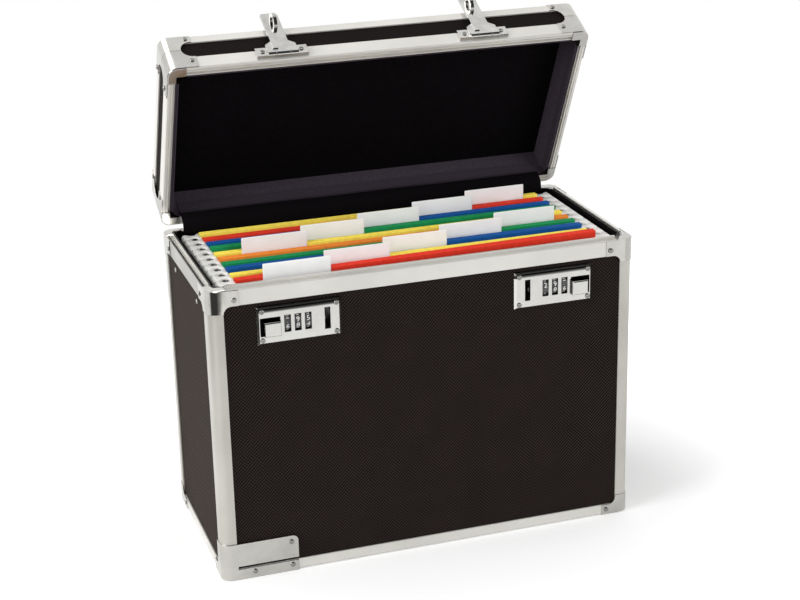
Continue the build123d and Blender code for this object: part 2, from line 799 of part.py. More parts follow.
for side, word in ((-1, "left"), (1, "right")):
    save(f"{word}_lock_plate", lock_plate(side))
    save(f"{word}_lock_case", lock_case(side))
    save(f"{word}_lock_slide", lock_slide(side))
    save(f"{word}_lock_spring", lock_spring(side))
    for number, place in enumerate(dial_places, start=1):
        save(f"{word}_dial_{number}", dial(side, place))
save("dial_axles", dial_axle(-1), dial_axle(1))

# Rivets and screws of the body
leaf_face_y = case_depth / 2 + rail_thickness
rivet_pitch = hinge_length / hinge_rivets
hinge_rivet_places = [(i + 0.5) * rivet_pitch - hinge_length / 2 for i in range(hinge_rivets)]
body_heads = cap_rivets(body_height, -1, rim_rivet_drop, all_corners)
body_heads += cap_rivets(base_rail_z, 1, base_flange / 2, foot_corners)
for from_corner, height in plate_rivets:
    body_heads.append(rivet((from_corner - case_width / 2, front_y - plate_corner_skin, height), (0, -1, 0)))
for x_side in (-1, 1):
    for y_side in (-1, 1):
        y = y_side * (hang_half_length - hang_rivet_setback)
        face_x = x_side * (case_width / 2 - rail_thickness)
        body_heads.append(rivet((face_x, y, ledge_z - hang_rivet_drop), (x_side, 0, 0)))
    for x in (-lock_screw_x, lock_screw_x):
        for z in (-lock_screw_z, lock_screw_z):
            body_heads.append(screw((x_side * lock_x + x, face_y, lock_z + z), (0, -1, 0)))
for x in hinge_rivet_places:
    body_heads.append(rivet((x, leaf_face_y, hinge_z - hinge_rivet_drop), (0, 1, 0)))
save("body_rivets_and_screws", *body_heads)

# Lid, drawn shut and saved open
lid_wall_low = lid_rim_z + rim_seat
lid_walls = {side: open_lid * wall_panel(side, lid_wall_low, lid_panel_under) for side in sides}
save("lid_front_panel", lid_walls["front"])
save("lid_back_panel", lid_walls["back"])
save("lid_end_panels", lid_walls["left"], lid_walls["right"])
save("lid_top_panel", open_lid * flat_panel(lid_panel_under, lid_panel_top))

with BuildPart() as lid_lining:
    with BuildSketch(Plane.XY.offset(lid_rim_z + rim_inner_flange)):
        outline(wall_inset)
    extrude(amount=lid_panel_under - lid_rim_z - rim_inner_flange)
    with BuildSketch(Plane.XY.offset(lid_rim_z)):
        outline(inner_inset)
    extrude(amount=lid_panel_under - lining_thickness - lid_rim_z, mode=Mode.SUBTRACT)
save("lid_lining", open_lid * lid_lining.part)

top_profile = [(0, -lid_top_flange, 0), (0, 0, rim_edge_round), (lid_top_over_flange, 0, 0),
               (lid_top_over_flange, -rail_thickness, 0), (rail_thickness, -rail_thickness, 0),
               (rail_thickness, -lid_top_flange, 0)]
save("lid_top_rails", *[open_lid * rail(side, top_profile, lid_top_z, 1) for side in sides])
save("lid_rim_rails", *[open_lid * piece for piece in rim_rails(lid_rim_z, -1, "groove")])

top_leg = lid_height - lid_rim_cap_leg - lid_cap_seam
lid_legs = (lid_cap_leg_width, lid_cap_leg_width)
rim_cap = (lid_rim_z, 1, lid_rim_cap_leg, rim_flange, rim_width, rim_arms)
top_cap = (lid_top_z, -1, top_leg, lid_top_flange, lid_top_over_flange, foot_arms)
for name, cap in (("lid_rim_caps", rim_cap), ("lid_top_caps", top_cap)):
    save(name, *[open_lid * corner_cap(x, y, *cap, lid_legs, lid_cap_fillet) for x, y in all_corners])

# Hasps, drawn hanging over the locks
hasp_x = lock_x - hasp_offset
staple_x = lock_x - staple_slot_offset
hasp_pin_y = front_y - hasp_base_thickness - hasp_knuckle_radius - free_gap
hasp_pin_z = lid_rim_z + hasp_pin_height
staple_drop = hasp_pin_z - lock_z
fold_hasp = Pos(0, hasp_pin_y, hasp_pin_z) * Rot(-hasp_fold, 0, 0) * Pos(0, -hasp_pin_y, -hasp_pin_z)


def hasp_base(x):
    """A base plate with two raised ears, and a knuckle on each side of the hasp's own."""
    outer_y = front_y - hasp_base_thickness
    top = hasp_pin_z - hasp_pin_height + hasp_screw_height + hasp_ear_height / 2
    low = top - hasp_ear_height
    half = hasp_base_width / 2
    knuckle = (hasp_shoulder_width - hasp_knuckle_length) / 2 - knuckle_gap
    with BuildPart() as base:
        block((x - half, x + half), (outer_y, front_y), (low, top))
        for side in (-1, 1):
            block((x + side * (half - hasp_ear_width), x + side * half),
                  (outer_y - hasp_ear_rise, outer_y), (low, top))
            middle = x + side * (hasp_knuckle_length / 2 + knuckle_gap + knuckle / 2)
            block((middle - knuckle / 2, middle + knuckle / 2), (hasp_pin_y, outer_y), (low, hasp_pin_z))
            with Locations(Location((middle, hasp_pin_y, hasp_pin_z), (0, 90, 0))):
                Cylinder(hasp_knuckle_radius, knuckle)
        with Locations(Location((x, hasp_pin_y, hasp_pin_z), (0, 90, 0))):
            Cylinder(hasp_pin_radius, hasp_base_width, mode=Mode.SUBTRACT)
    return base.part


def hasp_pin(x):
    """The pin through the hasp's knuckles."""
    with BuildPart() as pin:
        with Locations(Location((x, hasp_pin_y, hasp_pin_z), (0, 90, 0))):
            Cylinder(hasp_pin_radius, hasp_shoulder_width)
    return pin.part


def hasp(side):
    """The swinging arm with its knuckle, side rib and the staple that plugs into the lock."""
    x = side * hasp_x
    half = hasp_thickness / 2
    start = hasp_pin_z - hasp_knuckle_radius - free_gap
    shoulder = hasp_pin_z - hasp_shoulder_length
    tip = hasp_pin_z - hasp_length
    with BuildPart() as arm:
        with BuildSketch(Plane.XZ.offset(-(hasp_pin_y + half))):
            with BuildLine():
                FilletPolyline((x - hasp_shoulder_width / 2, start), (x - hasp_shoulder_width / 2, shoulder),
                               (x - hasp_arm_width / 2, shoulder - hasp_shoulder_taper),
                               (x - hasp_arm_width / 2, tip), (x + hasp_arm_width / 2, tip),
                               (x + hasp_arm_width / 2, shoulder - hasp_shoulder_taper),
                               (x + hasp_shoulder_width / 2, shoulder), (x + hasp_shoulder_width / 2, start),
                               radius=[0, hasp_round, hasp_round, hasp_round, hasp_tip_round,
                                       hasp_round, hasp_round, 0], close=True)
            make_face()
        extrude(amount=hasp_thickness)
        block((x - hasp_knuckle_length / 2, x + hasp_knuckle_length / 2),
              (hasp_pin_y - half, hasp_pin_y + half), (start, hasp_pin_z))
        with Locations(Location((x, hasp_pin_y, hasp_pin_z), (0, 90, 0))):
            Cylinder(hasp_knuckle_radius, hasp_knuckle_length)
            Cylinder(hasp_pin_radius + running_gap, hasp_base_width, mode=Mode.SUBTRACT)
        rib_x = x - hasp_arm_width / 2
        block((rib_x, rib_x + hasp_rib_width), (hasp_pin_y + half, hasp_pin_y + half + hasp_rib_height),
              (tip + hasp_rib_width, start - hasp_knuckle_radius))
        with BuildSketch(Plane.YZ.offset(side * staple_x - staple_thickness / 2)):
            with Locations((hasp_pin_y + half, hasp_pin_z - staple_drop)):
                Ellipse(staple_depth, staple_length / 2)
                Ellipse(staple_depth - staple_bar, staple_length / 2 - staple_bar, mode=Mode.SUBTRACT)
            with Locations((hasp_pin_y + half - staple_depth, hasp_pin_z - staple_drop)):
                Rectangle(2 * staple_depth, staple_length, mode=Mode.SUBTRACT)
        extrude(amount=staple_thickness)
    return arm.part


save("hasp_bases", *[open_lid * hasp_base(x) for x in (-hasp_x, hasp_x)])
save("hasp_pins", *[open_lid * hasp_pin(x) for x in (-hasp_x, hasp_x)])
save("left_hasp", open_lid * fold_hasp * hasp(-1))
save("right_hasp", open_lid * fold_hasp * hasp(1))

# Rivets and screws of the lid
lid_heads = cap_rivets(lid_rim_z, 1, rim_rivet_drop, all_corners)
lid_heads += cap_rivets(lid_top_z, -1, lid_top_flange / 2, all_corners)
for x_side in (-1, 1):
    for ear in (-1, 1):
        point = (x_side * hasp_x + ear * (hasp_base_width - hasp_ear_width) / 2,
                 front_y - hasp_base_thickness - hasp_ear_rise, lid_rim_z + hasp_screw_height)
        lid_heads.append(screw(point, (0, -1, 0)))

for x in hinge_rivet_places:
    lid_heads.append(rivet((x, leaf_face_y, hinge_z + hinge_rivet_drop), (0, 1, 0)))

# Handle: a folding grip between two brackets, drawn lying back on the lid's top
pivot_z = lid_panel_top + handle_pivot_height
ear_inner = handle_leg / 2 + handle_play


def handle_bracket(side):
    """A riveted base with two ears and the grip's pin between them."""
    x = side * (handle_span - handle_leg) / 2
    with BuildPart() as bracket:
        block((x - bracket_width / 2, x + bracket_width / 2), (-bracket_depth / 2, bracket_depth / 2),
              (lid_panel_top, lid_panel_top + bracket_plate))
        fillet(bracket.edges().filter_by(Axis.Z), radius=bracket_round)
        for ear in (-1, 1):
            inner = x + ear * ear_inner
            width = 2 * handle_pin_radius
            ear_top = pivot_z + width
            with BuildSketch(Plane.YZ.offset(inner)):
                with BuildLine():
                    FilletPolyline((-width, lid_panel_top), (-width, ear_top), (width, ear_top),
                                   (width, lid_panel_top),
                                   radius=[0, bracket_ear_round, bracket_ear_round, 0], close=True)
                make_face()
            extrude(amount=ear * bracket_ear)
        with Locations(Location((x, 0, pivot_z), (0, 90, 0))):
            Cylinder(handle_pin_radius, 2 * ear_inner + bracket_ear)
    return bracket.part


with BuildPart() as handle_grip:
    half = handle_span / 2
    leg_end = -handle_leg / 2
    grip_far = handle_reach + grip_depth / 2
    grip_near = handle_reach - grip_depth / 2
    with BuildSketch(Plane.XY.offset(pivot_z - handle_thickness / 2)):
        with BuildLine():
            FilletPolyline((-half, leg_end), (-half, grip_far), (half, grip_far), (half, leg_end),
                           (half - handle_leg, leg_end), (half - handle_leg, grip_near),
                           (handle_leg - half, grip_near), (handle_leg - half, leg_end),
                           radius=[0, grip_outer_round, grip_outer_round, 0,
                                   0, grip_inner_round, grip_inner_round, 0], close=True)
        make_face()
    extrude(amount=handle_thickness)
    flat_faces = handle_grip.faces().filter_by(Axis.Z)
    fillet(flat_faces.edges(), radius=handle_round)
    with Locations(Location((0, 0, pivot_z), (0, 90, 0))):
        Cylinder(handle_pin_radius + running_gap, handle_span + 2 * cut, mode=Mode.SUBTRACT)
save("handle_grip", open_lid * handle_grip.part)
save("handle_brackets", *[open_lid * handle_bracket(side) for side in (-1, 1)])
bracket_rivet_inset = rivet_radius + bracket_rivet_margin
for side in (-1, 1):
    for y_side in (-1, 1):
        x = side * ((handle_span - handle_leg) / 2 + bracket_width / 2 - bracket_rivet_inset)
        y = y_side * (bracket_depth / 2 - bracket_rivet_inset)
        lid_heads.append(rivet((x, y, lid_panel_top + bracket_plate), (0, 0, 1)))
save("lid_rivets_and_screws", *[open_lid * head for head in lid_heads])


# Hanging folders, numbered from the front. Their hooks hang on the lips of the rails
hook_end = lip_x + hook_side_gap + hook_tip
hook_top = lip_top + hook_rest_gap + hook_bridge
bar_low = hook_top - bar_height
folder_half_width = hook_end - hook_length
folder_top = hook_top + bar_headroom + folder_leaf
folder_bottom = floor_z + lining_thickness + folder_floor_gap
folder_front_y = case_back_y + lock_case_wall + folder_front_gap + folder_half_thickness
folder_back_y = case_depth / 2 - inner_inset - folder_back_gap - folder_half_thickness
folder_pitch = (folder_back_y - folder_front_y) / (folder_count - 1)
tab_first_x = tab_margin_left + tab_width / 2 - folder_half_width
tab_last_x = folder_half_width - tab_margin_right - tab_width / 2
tab_pitch = (tab_last_x - tab_first_x) / (tab_positions - 1)


def folder_sheet(y):
    """A folded sheet: two leaves joined at the bottom, each with a hem round its hanger bar."""
    leaf = folder_half_thickness - folder_leaf / 2
    top = folder_top - folder_leaf / 2
    low = folder_bottom + folder_leaf / 2
    with BuildPart() as sheet:
        with BuildSketch(Plane.YZ.offset(-folder_half_width)):
            with BuildLine():
                line = FilletPolyline((y - folder_hem_inner, bar_low), (y - folder_hem_inner, top),
                                      (y - leaf, top), (y - leaf, low), (y + leaf, low), (y + leaf, top),
                                      (y + folder_hem_inner, top), (y + folder_hem_inner, bar_low),
                                      radius=[folder_hem_round, folder_hem_round, folder_bend,
                                              folder_bend, folder_hem_round, folder_hem_round])
            trace(line, line_width=folder_leaf)
        extrude(amount=2 * folder_half_width)
    return sheet.part


def hanger_bar(middle_y):
    """A hanger bar with a hook at each end that drops over the lip of a hanging rail."""
    through = (middle_y - bar_thickness, middle_y + bar_thickness)
    tip_start = hook_end - hook_tip
    with BuildPart() as bar:
        block((-hook_end, hook_end), (middle_y - bar_thickness / 2, middle_y + bar_thickness / 2),
              (bar_low, hook_top))
        for side in (-1, 1):
            block((side * (folder_half_width + hook_web), side * tip_start), through,
                  (bar_low, hook_top - hook_bridge), mode=Mode.SUBTRACT)
            block((side * tip_start, side * hook_end), through,
                  (bar_low, hook_top - hook_tip_height), mode=Mode.SUBTRACT)
        fillet(bar.edges().filter_by(Axis.Y), radius=hook_round)
    return bar.part


def label_tab(y, place):
    """The label holder that stands on the front leaf."""
    x = tab_first_x + place * tab_pitch
    face = y - folder_half_thickness
    foot = folder_top - tab_overlap
    half = tab_width / 2
    with BuildPart() as tab:
        block((x - half, x + half), (face - tab_thickness, face), (foot, foot + tab_height))
    return tab.part


for number in range(folder_count):
    y = folder_front_y + number * folder_pitch
    bar_offset = (folder_hem_inner + folder_half_thickness) / 2
    bars = [hanger_bar(y + side * bar_offset) for side in (-1, 1)]
    save(f"folder_{number + 1}", folder_sheet(y), *bars, label_tab(y, number % tab_positions))
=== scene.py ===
# %% [markdown]
# # A portable file box
# This lesson dresses the engineering model of a portable file box: black woven panels in an
# aluminium frame, polished corners, two number locks and ten hanging folders. The rigid metalwork
# comes from the engineering model and gets its finishes here. Folders, labels, lock springs, the
# figures on the dials and the fabric over the hinge are made here as meshes.

# %% Load the engineering model
import json
import math
import random

import bmesh
import bpy
from mathutils import Matrix, Vector


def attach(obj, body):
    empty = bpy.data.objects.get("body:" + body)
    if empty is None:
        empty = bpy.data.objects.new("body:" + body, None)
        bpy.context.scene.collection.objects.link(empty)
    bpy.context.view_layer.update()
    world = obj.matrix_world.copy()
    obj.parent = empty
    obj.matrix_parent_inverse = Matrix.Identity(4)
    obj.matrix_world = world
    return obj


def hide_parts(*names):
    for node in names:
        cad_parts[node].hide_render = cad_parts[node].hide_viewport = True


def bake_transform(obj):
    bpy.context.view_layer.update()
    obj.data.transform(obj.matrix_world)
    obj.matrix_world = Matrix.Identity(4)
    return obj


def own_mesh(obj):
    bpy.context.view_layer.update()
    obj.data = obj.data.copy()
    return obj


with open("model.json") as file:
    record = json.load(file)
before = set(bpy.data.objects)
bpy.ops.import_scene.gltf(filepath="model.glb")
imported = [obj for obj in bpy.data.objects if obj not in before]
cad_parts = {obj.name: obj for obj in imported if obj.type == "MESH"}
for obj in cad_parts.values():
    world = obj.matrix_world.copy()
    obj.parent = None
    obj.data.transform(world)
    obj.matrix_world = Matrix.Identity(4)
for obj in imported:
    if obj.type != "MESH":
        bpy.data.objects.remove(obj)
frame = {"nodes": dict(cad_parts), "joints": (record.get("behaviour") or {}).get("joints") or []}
nodes = frame["nodes"]
joints = {joint["name"]: joint for joint in frame["joints"]}
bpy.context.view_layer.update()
MM = 0.001

# %% [markdown]
# Everything in the lid is easiest to think about with the lid shut. The hinge pin's place comes
# from the joint, and one matrix turns a shut lid into the open one of the model.

# %% The lid's turn
LID_OPEN = math.radians(63)
pin = Vector(joints["lid_hinge"]["pos_m"])
to_open = Matrix.Translation(pin) @ Matrix.Rotation(-LID_OPEN, 4, "X") @ Matrix.Translation(-pin)
print("hinge pin at", [round(v, 4) for v in pin])

# %% [markdown]
# ## Finishes
# Each finish is a small node network. Nodes can be placed by hand in the shader editor, but a short
# class that adds and joins them can be read from top to bottom, like a recipe. It works on any
# network, so the room around the box is wired with it as well.

# %% A bench for wiring nodes
def screen(red, green, blue):
    """A colour as a screen shows it, 0 to 255, turned into linear light."""
    levels = [channel / 255 for channel in (red, green, blue)]
    return [c / 12.92 if c <= 0.04045 else ((c + 0.055) / 1.055) ** 2.4 for c in levels] + [1.0]


class Network:
    """A tree of shader nodes, with short ways to add them and join them."""

    def __init__(self, tree):
        self.tree = tree
        tree.nodes.clear()

    def add(self, kind, **settings):
        node = self.tree.nodes.new(kind)
        for key, value in settings.items():
            setattr(node, key, value)
        return node

    def wire(self, source, target):
        self.tree.links.new(source, target)

    def math(self, operation, a, b=None):
        node = self.add("ShaderNodeMath", operation=operation)
        for index, value in enumerate((a, b)):
            if value is None:
                continue
            if isinstance(value, (int, float)):
                node.inputs[index].default_value = value
            else:
                self.wire(value, node.inputs[index])
        return node.outputs[0]

    def opposite(self, amount):
        """1 less an amount."""
        return self.math("SUBTRACT", 1.0, amount)

    def within(self, value, limit):
        """1 where a value lies closer to 0 than a limit, else 0."""
        return self.math("LESS_THAN", self.math("ABSOLUTE", value), limit)

    def beyond(self, value, limit):
        """1 where a value lies further from 0 than a limit, else 0."""
        return self.math("GREATER_THAN", self.math("ABSOLUTE", value), limit)

    def ranged(self, amount, start, end, low=0.0, high=1.0, shape="LINEAR"):
        """Turns start to end into low to high, and holds the amount at those beyond them."""
        node = self.add("ShaderNodeMapRange", interpolation_type=shape)
        limits = {"From Min": start, "From Max": end, "To Min": low, "To Max": high}
        for socket, value in limits.items():
            node.inputs[socket].default_value = value
        self.wire(amount, node.inputs["Value"])
        return node.outputs[0]


# %% [markdown]
# A finish is such a network inside a material. It reads the place on the object and offers the few
# patterns that the finishes share: grain, cells, colours along an amount, and relief. Patterns
# follow the object's own coordinates, so they stay put when a lid or a dial moves.

# %% A bench for making finishes
class Finish(Network):
    """A material with one shader, set to the given values."""

    def __init__(self, name, **shader_values):
        self.material = bpy.data.materials.new(name)
        self.material.use_nodes = True
        super().__init__(self.material.node_tree)
        self.shader = self.add("ShaderNodeBsdfPrincipled")
        output = self.add("ShaderNodeOutputMaterial")
        self.wire(self.shader.outputs[0], output.inputs["Surface"])
        self.place = self.add("ShaderNodeTexCoord").outputs["Object"]
        self.normal = None
        for socket, value in shader_values.items():
            self.shader.inputs[socket.replace("_", " ")].default_value = value

    def turned(self, angle_x=0.0, stretch=(1, 1, 1), shift=(0, 0, 0)):
        """The place on the object, stretched, turned about X and shifted."""
        mapping = self.add("ShaderNodeMapping")
        mapping.inputs["Location"].default_value = shift
        mapping.inputs["Rotation"].default_value = (angle_x, 0, 0)
        mapping.inputs["Scale"].default_value = stretch
        self.wire(self.place, mapping.inputs["Vector"])
        return mapping.outputs[0]

    def axes(self, vector=None):
        """X, Y and Z of a vector, or else of the place on the object."""
        split = self.add("ShaderNodeSeparateXYZ")
        self.wire(self.place if vector is None else vector, split.inputs[0])
        return split.outputs

    def noise(self, scale, detail=3.0, stretch=(1, 1, 1), roughness=0.5):
        node = self.add("ShaderNodeTexNoise")
        node.inputs["Scale"].default_value = scale
        node.inputs["Detail"].default_value = detail
        node.inputs["Roughness"].default_value = roughness
        self.wire(self.turned(stretch=stretch), node.inputs["Vector"])
        return node.outputs[0]

    def cells(self, scale):
        node = self.add("ShaderNodeTexVoronoi")
        node.inputs["Scale"].default_value = scale
        self.wire(self.place, node.inputs["Vector"])
        return node.outputs["Distance"]

    def colours(self, amount, *stops):
        """Colours laid out along an amount: (position, colour), ..."""
        node = self.add("ShaderNodeValToRGB")
        ramp = node.color_ramp
        while len(ramp.elements) < len(stops):
            ramp.elements.new(0.5)
        for element, (position, colour) in zip(ramp.elements, stops):
            element.position = position
            element.color = colour
        self.wire(amount, node.inputs[0])
        self.wire(node.outputs[0], self.shader.inputs["Base Color"])

    def spread(self, amount, low, high, socket="Roughness"):
        """Maps an amount of 0 to 1 onto a range of one of the shader's values."""
        self.wire(self.ranged(amount, 0.0, 1.0, low, high), self.shader.inputs[socket])

    def relief(self, height, strength, depth):
        """Raises the surface by a height pattern, on top of any relief so far."""
        node = self.add("ShaderNodeBump")
        node.inputs["Strength"].default_value = strength
        node.inputs["Distance"].default_value = depth
        self.wire(height, node.inputs["Height"])
        if self.normal is not None:
            self.wire(self.normal, node.inputs["Normal"])
        self.normal = node.outputs[0]
        self.wire(self.normal, self.shader.inputs["Normal"])

    def soft_edges(self, radius):
        """Catches light along sharp edges, as worn or rolled metal does."""
        node = self.add("ShaderNodeBevel", samples=4)
        node.inputs["Radius"].default_value = radius
        self.normal = node.outputs[0]
        self.wire(self.normal, self.shader.inputs["Normal"])


def dress(finish, *names):
    """Gives nodes of the engineering model a finish."""
    for name in names:
        mesh = nodes[name].data
        mesh.materials.clear()
        mesh.materials.append(finish.material)
    print(finish.material.name, "on", len(names), "nodes")


# %% [markdown]
# ## Woven black laminate
# The panels are board faced with black plastic sheet that is pressed with a fine diagonal
# weave. Two sets of threads cross at 45 degrees. At each crossing one thread lies on top, and
# which one alternates like a chess board, but one set stands a little prouder than the other, as
# in a twill. The ridges are painted lighter, as painted highlight, and the valleys are painted
# dark, as painted shade. A picture of the weave could be laid on, but it would blur close up. The
# pattern is worked out from the place on the panel instead, so it stays sharp and keeps its real
# size of about two millimetres. The side panels have narrower bright ridges, mostly of one set,
# painted brighter as painted light, and the lid's walls are painted less bright as painted shade.

# %% Woven laminate
THREAD = 2.2 * MM
MOTTLING = 0.15


def woven_laminate(name, lies_flat, tilt, tones, twill=0.4):
    """Tones are those of valley, thread and ridge, from painted shade up to painted highlight.
    Twill is the share of the prouder threads.
    """
    finish = Finish(name, IOR=1.5)
    x, y, z = finish.axes(finish.turned(tilt))
    across = x if lies_flat else finish.math("SUBTRACT", x, y)
    up = y if lies_flat else z
    rising = finish.math("DIVIDE", finish.math("ADD", across, up), THREAD * math.sqrt(2))
    falling = finish.math("DIVIDE", finish.math("SUBTRACT", across, up), THREAD * math.sqrt(2))
    ridges = [finish.math("ABSOLUTE", finish.math("SINE", finish.math("MULTIPLY", way, math.pi)))
              for way in (rising, falling)]
    whole = finish.math("ADD", finish.math("FLOOR", rising), finish.math("FLOOR", falling))
    parity = finish.math("ABSOLUTE", finish.math("MODULO", whole, 2.0))
    on_top = finish.math("MULTIPLY", ridges[0], parity)
    other = finish.math("MULTIPLY", ridges[1], finish.opposite(parity))
    crossings = finish.math("ADD", on_top, other)
    weave = finish.math("ADD", finish.math("MULTIPLY", ridges[1], twill),
                        finish.math("MULTIPLY", crossings, 1 - twill))
    mottle = finish.noise(35, 4)
    shade = finish.math("ADD", finish.math("MULTIPLY", weave, 1 - MOTTLING),
                        finish.math("MULTIPLY", mottle, MOTTLING))
    # painted highlight on the ridges and painted shade in the valleys
    finish.colours(shade, *zip((0.15, 0.5, 0.95), tones))
    finish.spread(mottle, 0.5, 0.64)
    finish.spread(weave, 0.0, 0.055, "Specular IOR Level")
    finish.relief(weave, 0.7, 0.35 * MM)
    finish.relief(finish.noise(2200, 2), 0.15, 0.05 * MM)
    return finish


# valley, thread and ridge tones; the side tones are painted light and the lid wall tones painted
# shade
broad = screen(8, 6, 6), screen(16, 12, 12), screen(54, 46, 43)
side_lit_tones = screen(2, 1, 1), screen(9, 7, 6), screen(71, 58, 50)
lid_shaded_tones = screen(2, 1, 1), screen(10, 7, 7), screen(42, 35, 33)
dress(woven_laminate("laminate_front", False, 0, broad), "front_panel", "back_panel")
dress(woven_laminate("laminate_side_lit", False, 0, side_lit_tones, 0.75), "left_panel", "right_panel")
dress(woven_laminate("laminate_base", True, 0, broad), "base_panel")
dress(woven_laminate("laminate_lid_walls_shaded", False, LID_OPEN, lid_shaded_tones),
      "lid_front_panel", "lid_back_panel", "lid_end_panels")
dress(woven_laminate("laminate_lid_top", True, LID_OPEN, broad), "lid_top_panel")

# %% [markdown]
# ## Metals
# The rims are one piece each, but not one finish: their inward faces are painted in the lining's
# colour as painted shade, near black on the box and the purple grey of the lid lining's painted
# light on the lid, the tops of the side rails are brighter drawn, and the outer faces of the side
# rails are painted greyer as painted shade. Faces could be given materials one by one, but each of
# these areas is simple to find from the place on the rail, and then the change from one to the
# next needs no extra edges.

# %% Areas of the rims
# inward faces of a rim lie inside the first two, outer faces of its side rails beyond the third
RIM_INNER_X, RIM_INNER_Y, RIM_OUTER_X = 178.2 * MM, 78.75 * MM, 184.4 * MM
RIM_TOP = 256.6 * MM
to_shut = to_open.inverted()


def inside_of_rim(finish, tilt=0.0, shift=(0, 0, 0)):
    """1 on the inward faces of a rim, up to the tongue, which get painted shade, else 0."""
    x, y, z = finish.axes(finish.turned(tilt, shift=shift))
    return finish.math("MULTIPLY", finish.within(x, RIM_INNER_X), finish.within(y, RIM_INNER_Y))


def inside_of_lid_rim(finish):
    """The same on the lid, worked out with the lid shut."""
    return inside_of_rim(finish, LID_OPEN, to_shut.translation)


def top_of_side_rail(finish):
    """1 on the upper faces of the rim's two side rails, else 0."""
    x, y, z = finish.axes()
    return finish.math("MULTIPLY", finish.beyond(x, RIM_INNER_X),
                       finish.math("GREATER_THAN", z, RIM_TOP))


def outside_of_side_rail(finish):
    """1 on the outer faces of the rim's two side rails, else 0."""
    x, y, z = finish.axes()
    return finish.beyond(x, RIM_OUTER_X)


# %% [markdown]
# The rails are satin anodised aluminium: pale, with a very fine grain. As full metal they would
# take on every dark spot of the room, so the shader is set to less than half metal, apart from the
# drawn tops of the side rails. Edges of rolled and pressed metal are never quite sharp, so the
# shader softens them.

# %% Satin aluminium
METAL_SHARE, BRIGHT_METAL_SHARE = 0.45, 0.9
# painted shade on grey faces: how much of its own tone a grey face loses, and the tone it gets
# instead
SHADE_LOSS, SHADE_TONE = 0.94, 0.03


def satin_aluminium(name, stretch, tones, painted_inside=None, lining=screen(14, 12, 14), duller=0.0,
                    brighter=None, shaded_grey=None):
    """Anodised rail. Three masks give 1 where the rail is so, else 0: the first marks inward faces
    painted in the lining colour as painted shade, the second the more metal tops, the third faces
    painted greyer as painted shade.
    """
    finish = Finish(name, Metallic=METAL_SHARE)
    grain = finish.noise(900, 3, stretch)
    tone = finish.noise(14, 3)
    if shaded_grey is not None:
        # painted shade: grey faces lose most of their tone
        shade_share = shaded_grey(finish)
        tone = finish.math("MULTIPLY", tone, finish.opposite(finish.math("MULTIPLY", shade_share, SHADE_LOSS)))
        tone = finish.math("ADD", tone, finish.math("MULTIPLY", shade_share, SHADE_TONE))
    rough = finish.math("ADD", finish.math("MULTIPLY", grain, 0.13), 0.27 + duller)
    if painted_inside is not None:
        # painted shade on the inward faces, in the lining colour
        cover = painted_inside(finish)
        unpainted = finish.opposite(cover)
        tone = finish.math("MULTIPLY", tone, unpainted)
        rough = finish.math("MAXIMUM", rough, finish.math("MULTIPLY", cover, 0.9))
        share = METAL_SHARE
        if brighter is not None:
            bright = brighter(finish)
            share = finish.ranged(bright, 0.0, 1.0, METAL_SHARE, BRIGHT_METAL_SHARE)
            rough = finish.math("MULTIPLY", rough, finish.ranged(bright, 0.0, 1.0, 1.0, 0.5))
        finish.wire(finish.math("MULTIPLY", unpainted, share), finish.shader.inputs["Metallic"])
        finish.spread(cover, 0.5, 0.05, "Specular IOR Level")
    # tone 0 gives the painted shade of the inward faces, and grey faces fall close to it
    finish.colours(tone, (0.0, lining), (0.1, tones[0]), (0.35, tones[0]), (0.7, tones[1]))
    finish.wire(rough, finish.shader.inputs["Roughness"])
    finish.soft_edges(0.35 * MM)
    finish.relief(grain, 0.12, 0.03 * MM)
    return finish


rail_tones = screen(216, 214, 208), screen(229, 227, 221)
post_tones = screen(186, 184, 176), screen(201, 199, 191)
along = (0.05, 0.05, 1)
dress(satin_aluminium("rail_aluminium", along, rail_tones), "base_rails", "lid_top_rails")
dress(satin_aluminium("rim_aluminium", along, rail_tones, inside_of_rim,
                      brighter=top_of_side_rail, shaded_grey=outside_of_side_rail), "rim_rails")
# the lid rim's inward faces take the purple grey of the lid lining's painted light
dress(satin_aluminium("lid_rim_aluminium", along, rail_tones, inside_of_lid_rim,
                      screen(58, 52, 60), 0.12), "lid_rim_rails")
dress(satin_aluminium("post_aluminium", (1, 1, 0.05), post_tones), "corner_posts")

# %% [markdown]
# The corner caps and the lock parts are plated and polished, so they mirror the room, broken up a
# little by handling marks. The caps of the box's rim are pressed round its corners. A relief that
# falls away towards the corner is enough for this: it bends what the cap mirrors, not the cap.

# %% Polished plating
# millimetres by which a cap's relief falls away between two distances from the middle of the box
SWELL_START, SWELL_END, SWELL_FALL = 150 * MM, 187 * MM, 14.8


def polished_plate(name, dark, light, gloss, painted_black=None, swell=None):
    """Plating, painted black where the first mask gives 1, as painted shade and painted dark
    reflection, and raised by the millimetres that swell gives.
    """
    finish = Finish(name, Metallic=1.0)
    smudge = finish.noise(60, 5, roughness=0.65)
    fine = finish.noise(1500, 2, (1, 1, 0.08))
    tone = smudge
    if painted_black is not None:
        # painted shade and painted dark reflection: black where the mask gives 1
        tone = finish.math("MULTIPLY", smudge, finish.opposite(painted_black(finish)))
    finish.colours(tone, (0.0, screen(10, 10, 10)), (0.12, dark), (0.3, dark), (0.75, light))
    finish.spread(smudge, gloss, gloss * 1.6)
    finish.soft_edges(0.3 * MM)
    finish.relief(fine, 0.05, 0.02 * MM)
    if swell is not None:
        finish.relief(swell(finish), 1.0, 1.0 * MM)
    return finish


def corner_swell(finish):
    """A height in millimetres that falls away towards the corners, as on a pressed cap."""
    x, y, z = finish.axes()
    outwards = finish.ranged(finish.math("ABSOLUTE", x), SWELL_START, SWELL_END)
    return finish.math("MULTIPLY", finish.math("POWER", outwards, 2.0), -SWELL_FALL)


cap_tones = screen(196, 194, 188), screen(214, 212, 206)
